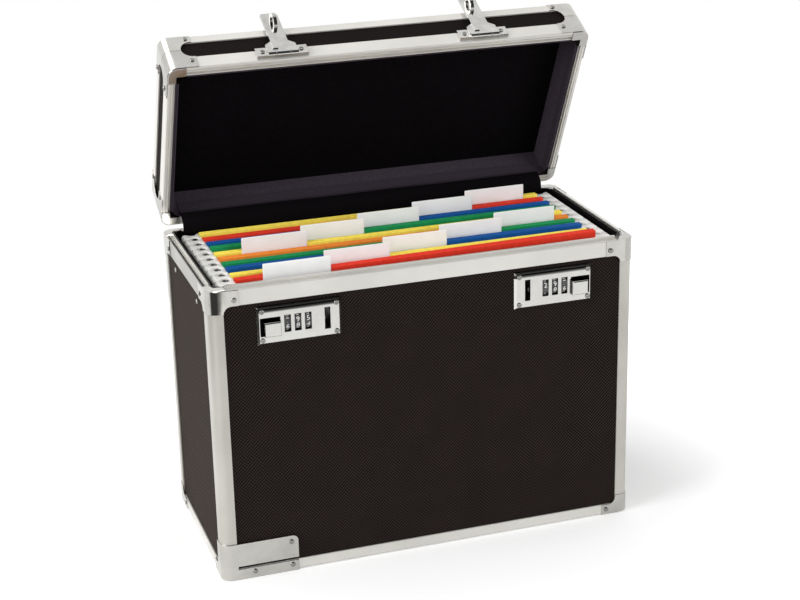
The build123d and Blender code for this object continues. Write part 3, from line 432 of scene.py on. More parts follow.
# a darker copy of the cap tones for the lid rim caps, as painted dark reflection
lid_cap_dark_tones = screen(186, 184, 180), screen(206, 204, 200)
dress(polished_plate("cap_plating", *cap_tones, 0.09),
      "foot_caps", "name_plate_corner", "lid_top_caps")
# the inward faces of both rims' caps are painted black: painted shade on the box, painted dark
# reflection on the lid
dress(polished_plate("rim_cap_plating", *cap_tones, 0.07, inside_of_rim, corner_swell), "rim_caps")
dress(polished_plate("lid_rim_cap_plating", *lid_cap_dark_tones, 0.2, inside_of_lid_rim), "lid_rim_caps")

# %% [markdown]
# ### Lock plates and small fittings
# A lock plate is flat, but its top edge rolls back, where it mirrors the dark above, and that edge
# is painted near black as well, as a painted dark reflection. The recesses behind its face and the
# sides of the button are painted black, as painted shade, so the bright faces stand out.
# The plates are solids of the engineering model and keep their shape, so all of this is found from
# the place on the lock. Both locks stand at the same height and the same distance from the middle
# of the box.

# %% Lock finishes
LOCK_FACE = -88.2 * MM
LOCK_MIDDLE = 223.5 * MM
LOCK_NEAR, LOCK_FAR = 77.7 * MM, 143.9 * MM
LOCK_HALF_HEIGHT, LOCK_CREST = 13 * MM, 13.4 * MM
ROLL_START, ROLL_END, ROLL_FALL = 11.0 * MM, 16.4 * MM, 1.2
BUTTON_SIDES = -91.6 * MM


def place_on_lock(finish):
    """X and Y on the box, and the height above the middle of the locks."""
    x, y, z = finish.axes()
    return x, y, finish.math("SUBTRACT", z, LOCK_MIDDLE)


def lock_dome(finish):
    """The height of a lock plate's face: flat, then falling away towards its top edge."""
    x, y, height = place_on_lock(finish)
    roll = finish.math("POWER", finish.ranged(height, ROLL_START, ROLL_END), 1.6)
    return finish.math("MULTIPLY", finish.opposite(roll), ROLL_FALL)


def lock_recess(finish):
    """Painted shade: 1 behind the face of a lock plate. Painted dark reflection: nearly 1 on its
    rolled top edge. Else 0.
    """
    x, y, height = place_on_lock(finish)
    across = finish.math("MULTIPLY", finish.within(x, LOCK_FAR), finish.beyond(x, LOCK_NEAR))
    level = finish.math("MULTIPLY", finish.within(height, LOCK_HALF_HEIGHT),
                        finish.math("GREATER_THAN", y, LOCK_FACE))
    # painted dark reflection on the rolled top edge
    crest = finish.math("MULTIPLY", finish.math("GREATER_THAN", height, LOCK_CREST), 0.985)
    return finish.math("MAXIMUM", finish.math("MULTIPLY", across, level), crest)


def button_sides(finish):
    """Painted shade: nearly 1 on the sides of a button, behind its rounded front edge, else 0."""
    x, y, z = finish.axes()
    return finish.math("MULTIPLY", finish.math("GREATER_THAN", y, BUTTON_SIDES), 0.97)


plate_tones = screen(212, 211, 207), screen(222, 221, 217)
hasp_tones = screen(186, 185, 182), screen(218, 217, 213)
# rivet tones are darker than the other plating, as painted shade
rivet_dark_tones = screen(138, 137, 134), screen(176, 175, 171)
dress(polished_plate("lock_plating", *plate_tones, 0.06, lock_recess, lock_dome),
      "left_lock_plate", "right_lock_plate")
dress(polished_plate("button_plating", *plate_tones, 0.05, button_sides),
      "left_lock_slide", "right_lock_slide")
dress(polished_plate("hasp_plating", *hasp_tones, 0.07),
      "left_hasp", "right_hasp", "hasp_bases", "hasp_pins", "handle_brackets")
dress(polished_plate("rivet_plating", *rivet_dark_tones, 0.03),
      "body_rivets_and_screws", "lid_rivets_and_screws")

# %% [markdown]
# The hinge, springs, axles and lock cases are plain steel. Most of it is hidden, but the hinge
# shows at the back, so it gets a faint grain and a few darker clouds.

# %% Plain steel
def plain_steel():
    finish = Finish("plain_steel", Metallic=1.0)
    cloud = finish.noise(45, 5)
    finish.colours(cloud, (0.3, screen(150, 150, 151)), (0.7, screen(186, 186, 187)))
    finish.spread(finish.noise(1200, 3, (0.06, 1, 1)), 0.26, 0.42)
    finish.soft_edges(0.25 * MM)
    return finish


steel = plain_steel()
dress(steel, "hinge_body_leaf", "hinge_lid_leaf", "hinge_pin", "left_lock_case",
      "right_lock_case", "dial_axles")

# %% [markdown]
# ## Linings and plastics
# The inside is lined with a dark board that has a soft flocked face. It is almost black on flat
# boards, and its walls are painted lighter as painted light, up to a purple grey in the lid. The
# dials, the grip and the two rails that carry the folders are moulded in plastic with a fine grain.

# %% Lining, dial and grip finishes
def flocked_lining(name, tilt, walls):
    """Near black board, whose walls are painted lighter in the given wall colours, as painted
    light.
    """
    finish = Finish(name, Roughness=0.9, Specular_IOR_Level=0.05)
    facing = finish.add("ShaderNodeTexCoord").outputs["Normal"]
    turn = finish.add("ShaderNodeMapping", vector_type="NORMAL")
    turn.inputs["Rotation"].default_value = (tilt, 0, 0)
    finish.wire(facing, turn.inputs["Vector"])
    x, y, z = finish.axes(turn.outputs[0])
    # faces that stand upright, the walls, are painted lighter as painted light
    upright = finish.opposite(finish.math("ABSOLUTE", z))
    nap = finish.math("MULTIPLY", finish.noise(420, 5), 0.4)
    finish.colours(finish.math("ADD", nap, finish.math("MULTIPLY", upright, 0.6)),
                   (0.1, screen(8, 7, 9)), (0.35, screen(20, 17, 20)),
                   (0.6, walls[0]), (0.85, walls[1]))
    finish.relief(finish.noise(2600, 3), 0.35, 0.12 * MM)
    return finish


def moulded_plastic(name, dark, light, roughness):
    finish = Finish(name, IOR=1.49)
    pebble = finish.cells(1400)
    finish.colours(finish.noise(70, 4), (0.3, dark), (0.7, light))
    finish.spread(finish.noise(150, 3), roughness, roughness + 0.12)
    finish.relief(pebble, 0.2, 0.08 * MM)
    return finish


dials = [f"{side}_dial_{number}" for side in ("left", "right") for number in (1, 2, 3)]
# wall colours are painted light, far brighter in the lid than in the box
body_walls = screen(13, 12, 14), screen(24, 21, 25)
lid_walls = screen(50, 44, 51), screen(71, 64, 73)
dress(flocked_lining("lining_body", 0, body_walls), "body_lining")
dress(flocked_lining("lining_lid", LID_OPEN, lid_walls), "lid_lining")
dress(moulded_plastic("dial_plastic", screen(62, 62, 64), screen(88, 88, 90), 0.3), *dials)
dress(moulded_plastic("grip_plastic", screen(20, 20, 21), screen(34, 34, 35), 0.45), "handle_grip")
dress(moulded_plastic("rail_black", screen(16, 15, 16), screen(30, 28, 29), 0.38),
      "left_hanging_rail", "right_hanging_rail")

# %% [markdown]
# ## Making meshes
# Three short helpers make the pieces that are modelled here. One fills a new object with a mesh,
# one joins rows of points into a skin, and one cuts a flat outline out of sheet. Blender's bmesh
# does the work, because it makes faces from plain points and needs no editing by hand.

# %% Mesh helpers
def new_piece(name, mesh_edit, finish):
    """An object with one mesh, filled in by mesh_edit, in the given finish."""
    mesh = bpy.data.meshes.new(name)
    work = bmesh.new()
    mesh_edit(work)
    bmesh.ops.recalc_face_normals(work, faces=work.faces)
    work.to_mesh(mesh)
    work.free()
    piece = bpy.data.objects.new(name, mesh)
    bpy.context.scene.collection.objects.link(piece)
    mesh.materials.append(finish.material)
    return piece


def skin(rows):
    """Joins rows of points, each as long as the next, into one surface."""
    def edit(work):
        grid = [[work.verts.new(point) for point in row] for row in rows]
        for near, far in zip(grid, grid[1:]):
            for a, b, c, d in zip(near, near[1:], far[1:], far):
                work.faces.new((a, b, c, d))
    return edit


def cut_sheet(outline, thickness):
    """A flat outline in XZ, thickened along Y."""
    def edit(work):
        face = work.faces.new([work.verts.new((x, -thickness / 2, z)) for x, z in outline])
        grown = bmesh.ops.extrude_face_region(work, geom=[face])["geom"]
        moved = [v for v in grown if isinstance(v, bmesh.types.BMVert)]
        bmesh.ops.translate(work, verts=moved, vec=(0, thickness, 0))
    return edit


# %% [markdown]
# Thickness, rounded edges and cut-outs come from modifiers. They are applied at once, so that the
# next step starts from the mesh that is seen.

# %% Rounding and shading
def apply_modifiers(piece, *modifiers):
    """Adds modifiers, given as (kind, settings), and keeps the mesh that they make."""
    for kind, settings in modifiers:
        modifier = piece.modifiers.new(kind.lower(), kind)
        for key, value in settings.items():
            setattr(modifier, key, value)
    shown = piece.evaluated_get(bpy.context.evaluated_depsgraph_get())
    mesh = bpy.data.meshes.new_from_object(shown)
    piece.modifiers.clear()
    piece.data = mesh
    return piece


def bevel(width, segments=2):
    """The modifier that takes the edges off a cut sheet."""
    return "BEVEL", {"width": width, "segments": segments, "limit_method": "ANGLE"}


def smooth(piece, angle=35):
    """Shades a piece smooth, and keeps edges sharper than angle."""
    piece.data.shade_smooth()
    piece.data.set_sharp_from_angle(angle=math.radians(angle))
    return piece


# %% [markdown]
# ## Folder finishes
# A hanging folder is stiff card with a thin coloured coat. Short fibres show as mottling, and a
# very light relief keeps the highlights from looking like glass. The hooks are off-white plastic,
# and the label holders are frosted white plastic with a strip of paper.

# %% Card, hook and label finishes
def coated_card(name, colour):
    finish = Finish("card_" + name, Roughness=0.5, IOR=1.45, Specular_IOR_Level=0.35)
    fibre = finish.noise(260, 6, (1, 1, 0.5), 0.6)
    darker = [channel * 0.86 for channel in colour[:3]] + [1.0]
    lighter = [min(channel * 1.08 + 0.004, 1.0) for channel in colour[:3]] + [1.0]
    finish.colours(fibre, (0.3, darker), (0.55, colour), (0.8, lighter))
    finish.spread(finish.noise(40, 3), 0.42, 0.58)
    finish.relief(finish.noise(1800, 4), 0.18, 0.05 * MM)
    return finish


def pale_plastic(name, colour, roughness):
    finish = Finish(name, IOR=1.46)
    cloud = finish.noise(55, 3)
    darker = [channel * 0.93 for channel in colour[:3]] + [1.0]
    finish.colours(cloud, (0.3, darker), (0.7, colour))
    finish.spread(finish.noise(300, 3), roughness, roughness + 0.15)
    finish.relief(finish.noise(1300, 2), 0.1, 0.04 * MM)
    return finish


card = {
    "yellow": coated_card("yellow", screen(254, 232, 92)),
    "red": coated_card("red", screen(232, 58, 38)),
    "blue": coated_card("blue", screen(8, 84, 158)),
    "green": coated_card("green", screen(22, 146, 84)),
    "orange": coated_card("orange", screen(244, 140, 52)),
}
hook_plastic = pale_plastic("hook_plastic", screen(248, 247, 243), 0.32)
holder_plastic = pale_plastic("holder_plastic", screen(250, 250, 249), 0.4)
label_paper = pale_plastic("label_paper", screen(253, 253, 252), 0.75)
print(len(card), "card colours")

# %% [markdown]
# ## Hanging folders
# Each folder is one sheet, folded at the bottom, with both top edges hemmed round a hanger bar. It
# is drawn as a line in YZ and swept along X in steps, so each leaf can bow and ripple a little as
# real card does. A cloth simulation could bend it too, but would be slow and would let the stiff
# hems sag. Here the ripple dies out at the hems and at the bottom fold.

# %% Folder sheet
FOLDER_COLOURS = ["red", "yellow", "blue", "green", "orange",
                  "yellow", "green", "blue", "red", "yellow"]
FOLDER_HALF = 157.5 * MM
FOLDER_TOP = 257.9 * MM
FOLDER_BOTTOM = 14.1 * MM
HEM = 14.5 * MM
# millimetres by which each hem stands above its bar at its left and right end
HEM_LIFTS = [(1.0, 4.0), (0.3, 0.3), (1.2, 1.4), (0.6, 1.0), (0.3, 0.3),
             (0.2, 0.3), (1.2, 1.0), (0.5, 0.8), (0.2, 0.4), (0.6, 0.3)]
LEAF_OUT = 3.0 * MM
LEAF_IN = 0.75 * MM
CARD = 0.4 * MM
FOLD_RADIUS = 2.2 * MM
STEPS_ACROSS, STEPS_DOWN = 64, 26
shuffle = random.Random(11)


def arc_points(centre_a, centre_b, radius, start, end, steps):
    """Points on an arc. Angles are in degrees from the first axis towards the second."""
    angles = [math.radians(start + (end - start) * i / steps) for i in range(steps + 1)]
    return [(centre_a + radius * math.cos(a), centre_b + radius * math.sin(a)) for a in angles]


def leaf_line():
    """The folded card's centre line on the front side, from the hem's end to the bottom fold."""
    turn = (LEAF_OUT - LEAF_IN) / 2
    hem_centre = -(LEAF_OUT + LEAF_IN) / 2
    line = [(-LEAF_IN, FOLDER_TOP - HEM), (-LEAF_IN, FOLDER_TOP - HEM / 2)]
    line += arc_points(hem_centre, FOLDER_TOP - turn, turn, 0, 180, 8)
    low = FOLDER_BOTTOM + FOLD_RADIUS
    for i in range(1, STEPS_DOWN):
        line.append((-LEAF_OUT, FOLDER_TOP - turn + (low - FOLDER_TOP + turn) * i / STEPS_DOWN))
    line += arc_points(FOLD_RADIUS - LEAF_OUT, low, FOLD_RADIUS, 180, 270, 5)
    return line


def folder_sheet(number, y):
    front = leaf_line()
    back = [(-py, pz) for py, pz in reversed(front)]
    waves = [(shuffle.uniform(0.25, 0.6) * MM, shuffle.uniform(5, 13), shuffle.uniform(0, 6))
             for _ in range(3)]
    bow = shuffle.uniform(-0.5, 0.5) * MM
    low_end, high_end = HEM_LIFTS[number]
    rows = []
    for step in range(STEPS_ACROSS + 1):
        x = -FOLDER_HALF + 2 * FOLDER_HALF * step / STEPS_ACROSS
        ripple = sum(size * math.sin(pace * x / FOLDER_HALF + phase)
                     for size, pace, phase in waves) / 2
        ripple += bow * math.cos(math.pi * x / FOLDER_HALF / 2)
        lift = (low_end + (high_end - low_end) * step / STEPS_ACROSS) * MM
        row = []
        for py, pz in front + back:
            height = (pz - FOLDER_BOTTOM) / (FOLDER_TOP - FOLDER_BOTTOM)
            hold = math.sin(math.pi * min(max(height, 0), 1)) ** 0.7
            row.append((x, y + py + ripple * hold, pz + lift * max(height, 0)))
        rows.append(row)
    colour = FOLDER_COLOURS[number]
    sheet = new_piece(f"folder_{number + 1}_sheet", skin(rows), card[colour])
    apply_modifiers(sheet, ("SOLIDIFY", {"thickness": CARD, "offset": 0}))
    return smooth(sheet, 50)


print("folders", round(2 * FOLDER_HALF, 3), "wide,", round(FOLDER_TOP - FOLDER_BOTTOM, 3), "tall")

# %% [markdown]
# Each folder hangs from two thin bars, hidden in its hems, that share a moulded hook at either
# end. Seen from the side the hook is a hand over the rail. Seen from above it is waisted, so
# neighbouring hooks nearly touch at both ends and leave an oval gap between. Both outlines are
# drawn, thickened and intersected, which gives the hook in one step, and a bevel rounds its edges.

# %% Hanger bars and hooks
BAR_TOP = 256.0 * MM
BAR_LOW = 243.5 * MM
BAR_HALF = 158.0 * MM
BAR_OFFSET = 1.95 * MM
BAR_THICK, BAR_EDGE = 1.4 * MM, 0.28 * MM
HOOK_EDGE = 0.35 * MM
# each outline is cut from stock that is thicker than the hook is in that direction
HOOK_STOCK, PLAN_STOCK, PLAN_Z = 16 * MM, 40 * MM, 250 * MM
# both outlines in millimetres: the side as (x, z), the plan as (x, half width)
HOOK_SIDE = [(157.0, 243.5), (159.2, 243.5), (159.2, 253.6), (160.3, 254.7), (163.8, 254.7),
             (164.6, 253.9), (164.6, 252.55), (167.6, 252.55), (168.5, 251.7), (168.5, 246.6),
             (169.4, 246.0), (171.6, 246.0), (172.5, 247.0), (172.5, 254.2), (170.8, 256.0),
             (157.0, 256.0)]
HOOK_PLAN = [(156.5, 6.4), (158.4, 6.5), (159.8, 4.9), (161.2, 2.9), (163.2, 2.5),
             (165.2, 2.9), (167.0, 4.7), (168.6, 6.3), (171.0, 6.1), (172.7, 5.0)]


def hanger_bar(name, y):
    """A flat bar along X, with the edges taken off."""
    outline = [(-BAR_HALF, BAR_LOW), (BAR_HALF, BAR_LOW), (BAR_HALF, BAR_TOP), (-BAR_HALF, BAR_TOP)]
    bar = new_piece(name, cut_sheet(outline, BAR_THICK), hook_plastic)
    bar.data.transform(Matrix.Translation((0, y, 0)))
    apply_modifiers(bar, bevel(BAR_EDGE))
    return smooth(bar)


def hook_mesh(side):
    """The moulded hook of one end, about y = 0."""
    outline = [(side * x * MM, z * MM) for x, z in HOOK_SIDE]
    hook = new_piece("hook", cut_sheet(outline, HOOK_STOCK), hook_plastic)
    plan = HOOK_PLAN + [(x, -width) for x, width in reversed(HOOK_PLAN)]
    plan = [(side * x * MM, width * MM) for x, width in plan]
    cutter = new_piece("plan", cut_sheet(plan, PLAN_STOCK), hook_plastic)
    upright = Matrix.Rotation(math.pi / 2, 4, "X")
    cutter.data.transform(Matrix.Translation((0, 0, PLAN_Z)) @ upright)
    bpy.context.view_layer.update()
    common = "BOOLEAN", {"operation": "INTERSECT", "object": cutter, "solver": "EXACT"}
    apply_modifiers(hook, common, bevel(HOOK_EDGE))
    smooth(hook)
    mesh = hook.data
    bpy.data.objects.remove(hook)
    bpy.data.objects.remove(cutter)
    return mesh


hook_meshes = {side: hook_mesh(side) for side in (-1, 1)}
print("hook faces:", len(hook_meshes[1].polygons))


def hook_end(name, y, side):
    """One hook at its place, as a copy of the mesh of its end."""
    mesh = hook_meshes[side].copy()
    mesh.transform(Matrix.Translation((0, y, 0)))
    hook = bpy.data.objects.new(name, mesh)
    bpy.context.scene.collection.objects.link(hook)
    return hook


# %% [markdown]
# A label stands up from the front of each folder. It is a thin frosted sleeve with rounded
# corners, and a paper strip that is a touch smaller lies on its face. Both are flat cut-outs: a
# small bevel is enough to make their edges catch the light.

# %% Label holders
TAB_WIDTH = 57.0 * MM
TAB_LOW = 254.5 * MM
TAB_HEIGHT = 15.0 * MM
TAB_THICK = 0.7 * MM
TAB_PITCH = 55.3 * MM
TAB_SHIFT = 4.5 * MM
TAB_GAP = 0.25 * MM
TAB_CORNER = 0.8 * MM
# the sleeve: its thickness, how far it stands behind the label's middle, and its bevel
SLEEVE_THICK, SLEEVE_BACK, SLEEVE_EDGE = TAB_THICK * 0.5, TAB_THICK * 0.2, 0.12 * MM
# the paper: its thickness, how far it stands before the label's middle, and its bevel
PAPER_THICK, PAPER_FRONT, PAPER_EDGE = 0.12 * MM, TAB_THICK * 0.12, 0.03 * MM
STRIP_EDGE = 0.6 * MM


def tab_middle(y):
    """How far forward a label sits on the folder at y."""
    return y - LEAF_OUT - TAB_THICK / 2 - TAB_GAP


def label_holder(name, x, y):
    """A frosted holder: a thin sleeve with rounded corners."""
    half, radius = TAB_WIDTH / 2, TAB_CORNER
    outline = []
    for cx, cz, start in ((half - radius, radius, -90), (half - radius, TAB_HEIGHT - radius, 0),
                          (radius - half, TAB_HEIGHT - radius, 90), (radius - half, radius, 180)):
        outline += arc_points(cx, cz, radius, start, start + 90, 5)
    sleeve = new_piece(name, cut_sheet(outline, SLEEVE_THICK), holder_plastic)
    sleeve.data.transform(Matrix.Translation((x, tab_middle(y) + SLEEVE_BACK, TAB_LOW)))
    apply_modifiers(sleeve, bevel(SLEEVE_EDGE))
    return smooth(sleeve)


def label_strip(name, x, y):
    """The paper strip on its holder, a touch smaller than the sleeve."""
    half, low, high = TAB_WIDTH / 2 - STRIP_EDGE, 2 * STRIP_EDGE, TAB_HEIGHT - STRIP_EDGE
    outline = [(-half, low), (half, low), (half, high), (-half, high)]
    strip = new_piece(name, cut_sheet(outline, PAPER_THICK), label_paper)
    strip.data.transform(Matrix.Translation((x, tab_middle(y) - PAPER_FRONT, TAB_LOW)))
    return apply_modifiers(strip, bevel(PAPER_EDGE, 1))


print("labels", round(TAB_WIDTH, 4), "wide,", round(TAB_HEIGHT, 4), "tall")

# %% [markdown]
# With the pieces defined, the ten folders are set out from front to back. Every piece of a folder
# rides on that folder's own body, so it lifts out as one.

# %% Set out the folders
FOLDER_FRONT, FOLDER_SPREAD = -66.0 * MM, 129 * MM
FOLDER_PITCH = FOLDER_SPREAD / (len(FOLDER_COLOURS) - 1)
for number in range(len(FOLDER_COLOURS)):
    y = FOLDER_FRONT + number * FOLDER_PITCH
    body = f"folder_{number + 1}"
    tab_x = (number % 5 - 2) * TAB_PITCH + TAB_SHIFT
    made = [folder_sheet(number, y)]
    made += [hanger_bar(f"{body}_bar_{word}", y + side * BAR_OFFSET)
             for side, word in ((-1, "front"), (1, "back"))]
    made += [hook_end(f"{body}_hook_{word}", y, side)
             for side, word in ((-1, "left"), (1, "right"))]
    made += [label_holder(f"{body}_holder", tab_x, y), label_strip(f"{body}_label", tab_x, y)]
    for piece in made:
        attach(piece, body)
    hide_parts(body)
print("folders set out:", len(FOLDER_COLOURS))

# %% [markdown]
# ## Fabric over the hinge
# A strip of woven fabric closes the gap at the hinge. It is glued inside the back wall and inside
# the lid, and its free part bellies inwards. It could be simulated as cloth, but only for one place
# of the lid. Here its real path is a rounded line through a few points.

# %% The strip's path
RIM_Z = 257.0 * MM
LID_RIM_Z = 258.8 * MM
GLUED_Y = 78.2 * MM
EDGE_Y = 76.8 * MM
# each end as (distance behind the middle of the box, distance from the rim), from its glued edge
STRIP_END = [(GLUED_Y, 17 * MM), (GLUED_Y, 7 * MM), (EDGE_Y, 2.5 * MM),
             (EDGE_Y - 0.4 * MM, -0.5 * MM)]
BELLY = 2.5 * MM
STEPS_PER_SPAN = 6


def strip_radius(point):
    """The direction from the hinge pin to a point."""
    return (point - Vector((0, pin.y, pin.z))).normalized()


def smooth_line(points, steps):
    """A rounded line through points, by Catmull and Rom's rule."""
    points = [2 * points[0] - points[1], *points, 2 * points[-1] - points[-2]]
    line = []
    for a, b, c, d in zip(points, points[1:], points[2:], points[3:]):
        for i in range(steps):
            t = i / steps
            line.append(0.5 * (2 * b + (c - a) * t + (2 * a - 5 * b + 4 * c - d) * t * t
                               + (3 * b - a - 3 * c + d) * t ** 3))
    return line + [points[-2]]


def strip_path():
    """From the glued end in the box, over the gap, to the glued end in the lid."""
    low = [Vector((0, y, RIM_Z - away)) for y, away in STRIP_END]
    high = [to_open @ Vector((0, y, LID_RIM_Z + away)) for y, away in reversed(STRIP_END)]
    middle = (low[-1] + high[0]) / 2
    belly = middle + strip_radius(middle) * BELLY
    return smooth_line([*low, belly, *high], STEPS_PER_SPAN)


path = strip_path()

# %% [markdown]
# The strip is plain woven: threads across and threads along, so two wave patterns at right angles
# are multiplied. The part in the lid is painted paler, as painted light, in a second finish of one
# weave.

# %% Strip cloth
def strip_cloth(name, valley, ridge):
    finish = Finish(name, Roughness=0.9, Specular_IOR_Level=0.05)
    weft = finish.add("ShaderNodeTexWave", wave_type="BANDS", bands_direction="X")
    warp = finish.add("ShaderNodeTexWave", wave_type="BANDS", bands_direction="Z")
    for wave in (weft, warp):
        wave.inputs["Scale"].default_value = 420
        finish.wire(finish.place, wave.inputs["Vector"])
    threads = finish.math("MULTIPLY", weft.outputs["Fac"], warp.outputs["Fac"])
    finish.colours(threads, (0.0, valley), (0.8, ridge))
    finish.relief(threads, 0.3, 0.08 * MM)
    return finish


box_cloth = strip_cloth("cloth_box_side", screen(8, 7, 8), screen(24, 21, 24))
# the lid side's paler colours are painted light
lit_cloth = strip_cloth("cloth_lid_side_lit", screen(50, 44, 51), screen(76, 69, 79))
print("cloths:", box_cloth.material.name, "and", lit_cloth.material.name)

# %% [markdown]
# The path is now repeated across the box, and the columns are joined into a skin. Glued cloth
# puckers a little where it is free, so small waves run across the strip and die out towards its
# glued ends.

# %% Lay the strip
# the puckers: their depth, how fast they follow each other across, and how unevenly
PUCKER, PUCKER_PACE, PUCKER_DRIFT = 0.3 * MM, 46, 0.8
STRIP_HALF, STRIP_COLUMNS = 168.4 * MM, 90
BOX_SHARE = 0.72
STRIP_THICK = 0.6 * MM
spans = len(path) - 1
rows = []
for column in range(STRIP_COLUMNS + 1):
    x = -STRIP_HALF + 2 * STRIP_HALF * column / STRIP_COLUMNS
    row = []
    for i, point in enumerate(path):
        free = math.sin(math.pi * i / spans) ** 4
        wave = math.sin(x * PUCKER_PACE + PUCKER_DRIFT * math.sin(x * PUCKER_PACE / 2))
        pucker = PUCKER * free * wave
        row.append(Vector((x, 0, 0)) + point + strip_radius(point) * pucker)
    rows.append(row)
hinge_strip = new_piece("hinge_strip", skin(rows), box_cloth)
# faces past the box's share of the path take the paler lid cloth, painted light
hinge_strip.data.materials.append(lit_cloth.material)
for index, face in enumerate(hinge_strip.data.polygons):
    face.material_index = int(index % spans >= spans * BOX_SHARE)
apply_modifiers(hinge_strip, ("SOLIDIFY", {"thickness": STRIP_THICK, "offset": 0}))
smooth(hinge_strip, 60)
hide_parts("hinge_cover")
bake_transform(hinge_strip)
print("strip laid in", STRIP_COLUMNS, "columns")

# %% [markdown]
# ## Lock springs
# Each sliding button is pushed back by a small coil spring in its lock case. The slide shortens the
# coil as it travels. The coil is made here and rides on the lock case.

# %% Lock springs
COIL_RADIUS, COIL_WIRE, COIL_TURNS = 1.5 * MM, 0.25 * MM, 8
COIL_NEAR, COIL_FAR = 125.8 * MM, 140.1 * MM
COIL_Y, COIL_Z = -83.7 * MM, 212.75 * MM
STEPS_PER_TURN, WIRE_SIDES = 18, 8


def coil(side):
    """A closed tube along a helix about an axis in X."""
    start, end = COIL_NEAR + COIL_WIRE, COIL_FAR - COIL_WIRE
    steps = STEPS_PER_TURN * COIL_TURNS
    around = [2 * math.pi * i / WIRE_SIDES for i in range(WIRE_SIDES)]

    def edit(work):
        rings = []
        for step in range(steps + 1):
            turn = 2 * math.pi * step / STEPS_PER_TURN
            out = Vector((0, math.cos(turn), math.sin(turn)))
            x = side * (start + (end - start) * step / steps)
            centre = Vector((x, COIL_Y, COIL_Z)) + out * COIL_RADIUS
            rings.append([work.verts.new(centre + COIL_WIRE * (out * math.cos(a)
                                                               + Vector((math.sin(a), 0, 0))))
                          for a in around])
        for near, far in zip(rings, rings[1:]):
            for i in range(WIRE_SIDES):
                work.faces.new((near[i], near[i - 1], far[i - 1], far[i]))
        work.faces.new(rings[0])
        work.faces.new(reversed(rings[-1]))
    return edit


for word, side in (("left", -1), ("right", 1)):
    spring = smooth(new_piece(f"{word}_lock_coil", coil(side), steel), 60)
    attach(spring, "case")
    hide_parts(f"{word}_lock_spring")
    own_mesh(spring)

# %% [markdown]
# ## Figures on the dials
# Each number wheel carries ten figures. A flat text mesh is wrapped round the wheel: its height
# becomes an angle, and its depth stays outwards. Two figures show in each window, one above the
# other, with a finger notch between them.

# %% Dial figures
FIGURE_HEIGHT = 4.2 * MM
FIGURE_RAISE = 0.05 * MM
TEXT_DEPTH = 0.01
DIAL_RADIUS = 8.2 * MM
FIGURES = 10


def figure_paint():
    finish = Finish("figure_paint", Roughness=0.45)
    finish.colours(finish.noise(500, 3),
                   (0.3, screen(214, 213, 208)), (0.7, screen(238, 237, 232)))
    finish.relief(finish.noise(2000, 2), 0.1, 0.03 * MM)
    return finish


def flat_figure(text):
    """A text as a mesh: X and Y centred and FIGURE_HEIGHT tall, and its depth from 0 to 1."""
    curve = bpy.data.curves.new("figure", "FONT")
    curve.body = text
    curve.align_x = "CENTER"
    curve.size = 1.0
    curve.extrude = TEXT_DEPTH
    curve.resolution_u = 3
    holder = bpy.data.objects.new("figure", curve)
    bpy.context.scene.collection.objects.link(holder)
    shown = holder.evaluated_get(bpy.context.evaluated_depsgraph_get())
    mesh = bpy.data.meshes.new_from_object(shown)
    bpy.data.objects.remove(holder)
    heights = [v.co.y for v in mesh.vertices]
    low, high = min(heights), max(heights)
    size = FIGURE_HEIGHT / (high - low)
    points = [(v.co.x * size, (v.co.y - (low + high) / 2) * size, 0.5 + v.co.z / (2 * TEXT_DEPTH))
              for v in mesh.vertices]
    return points, [tuple(p.vertices) for p in mesh.polygons]


figures = [flat_figure(str(value)) for value in range(FIGURES)]
paint = figure_paint()
for dial in dials:
    centre = Vector(joints[dial + "_spin"]["pos_m"])
    start = shuffle.randrange(FIGURES)

    def wrap(work, centre=centre, start=start):
        for place in range(FIGURES):
            points, faces = figures[(start + place) % FIGURES]
            middle = math.radians(360 / FIGURES * (place + 0.5))
            corners = []
            for tx, ty, depth in points:
                angle = middle + ty / DIAL_RADIUS
                out = DIAL_RADIUS + FIGURE_RAISE * depth
                spot = Vector((tx, -out * math.cos(angle), out * math.sin(angle)))
                corners.append(work.verts.new(centre + spot))
            for face in faces:
                work.faces.new([corners[i] for i in face])

    numbers = new_piece(dial + "_figures", wrap, paint)
    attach(numbers, dial)
print("figures on", len(dials), "dials")

# %% [markdown]
# ## Room, lamps and camera
# The box stands on a pale floor that fades into the white around it. A large lamp above and to the
# left gives the side wall more light than the front, a weaker one fills from the right, and a
# small one lights the lid from above and behind.

# %% Floor and lamps
FLOOR_REACH = 0.62
FADE_START, FADE_END = 0.22, 0.58


def pale_floor():
    finish = Finish("pale_floor", Roughness=0.9, Specular_IOR_Level=0.0)
    finish.colours(finish.noise(3, 2), (0.3, (0.9, 0.9, 0.9, 1)), (0.7, (0.92, 0.92, 0.92, 1)))
    ray = finish.add("ShaderNodeLightPath")
    distance = finish.add("ShaderNodeVectorMath", operation="LENGTH")
    finish.wire(finish.place, distance.inputs[0])
    fade = finish.ranged(distance.outputs["Value"], FADE_START, FADE_END, 0.2, 1.0, "SMOOTHSTEP")
    lift = finish.math("MULTIPLY", ray.outputs["Is Camera Ray"], fade)
    finish.shader.inputs["Emission Color"].default_value = (1, 1, 1, 1)
    finish.wire(lift, finish.shader.inputs["Emission Strength"])
    return finish


spots = (-FLOOR_REACH, 0, FLOOR_REACH)
floor = new_piece("floor", skin([[(x, y, 0) for y in spots] for x in spots]), pale_floor())


def lamp(name, place, aim, size, power):
    """A rectangular lamp at a place, turned towards its aim."""
    light = bpy.data.lights.new(name, "AREA")
    light.shape = "RECTANGLE"
    light.size, light.size_y = size
    light.energy = power
    holder = bpy.data.objects.new(name, light)
    bpy.context.scene.collection.objects.link(holder)
    holder.location = place
    holder.rotation_euler = (Vector(aim) - Vector(place)).to_track_quat("-Z", "Y").to_euler()
    return holder


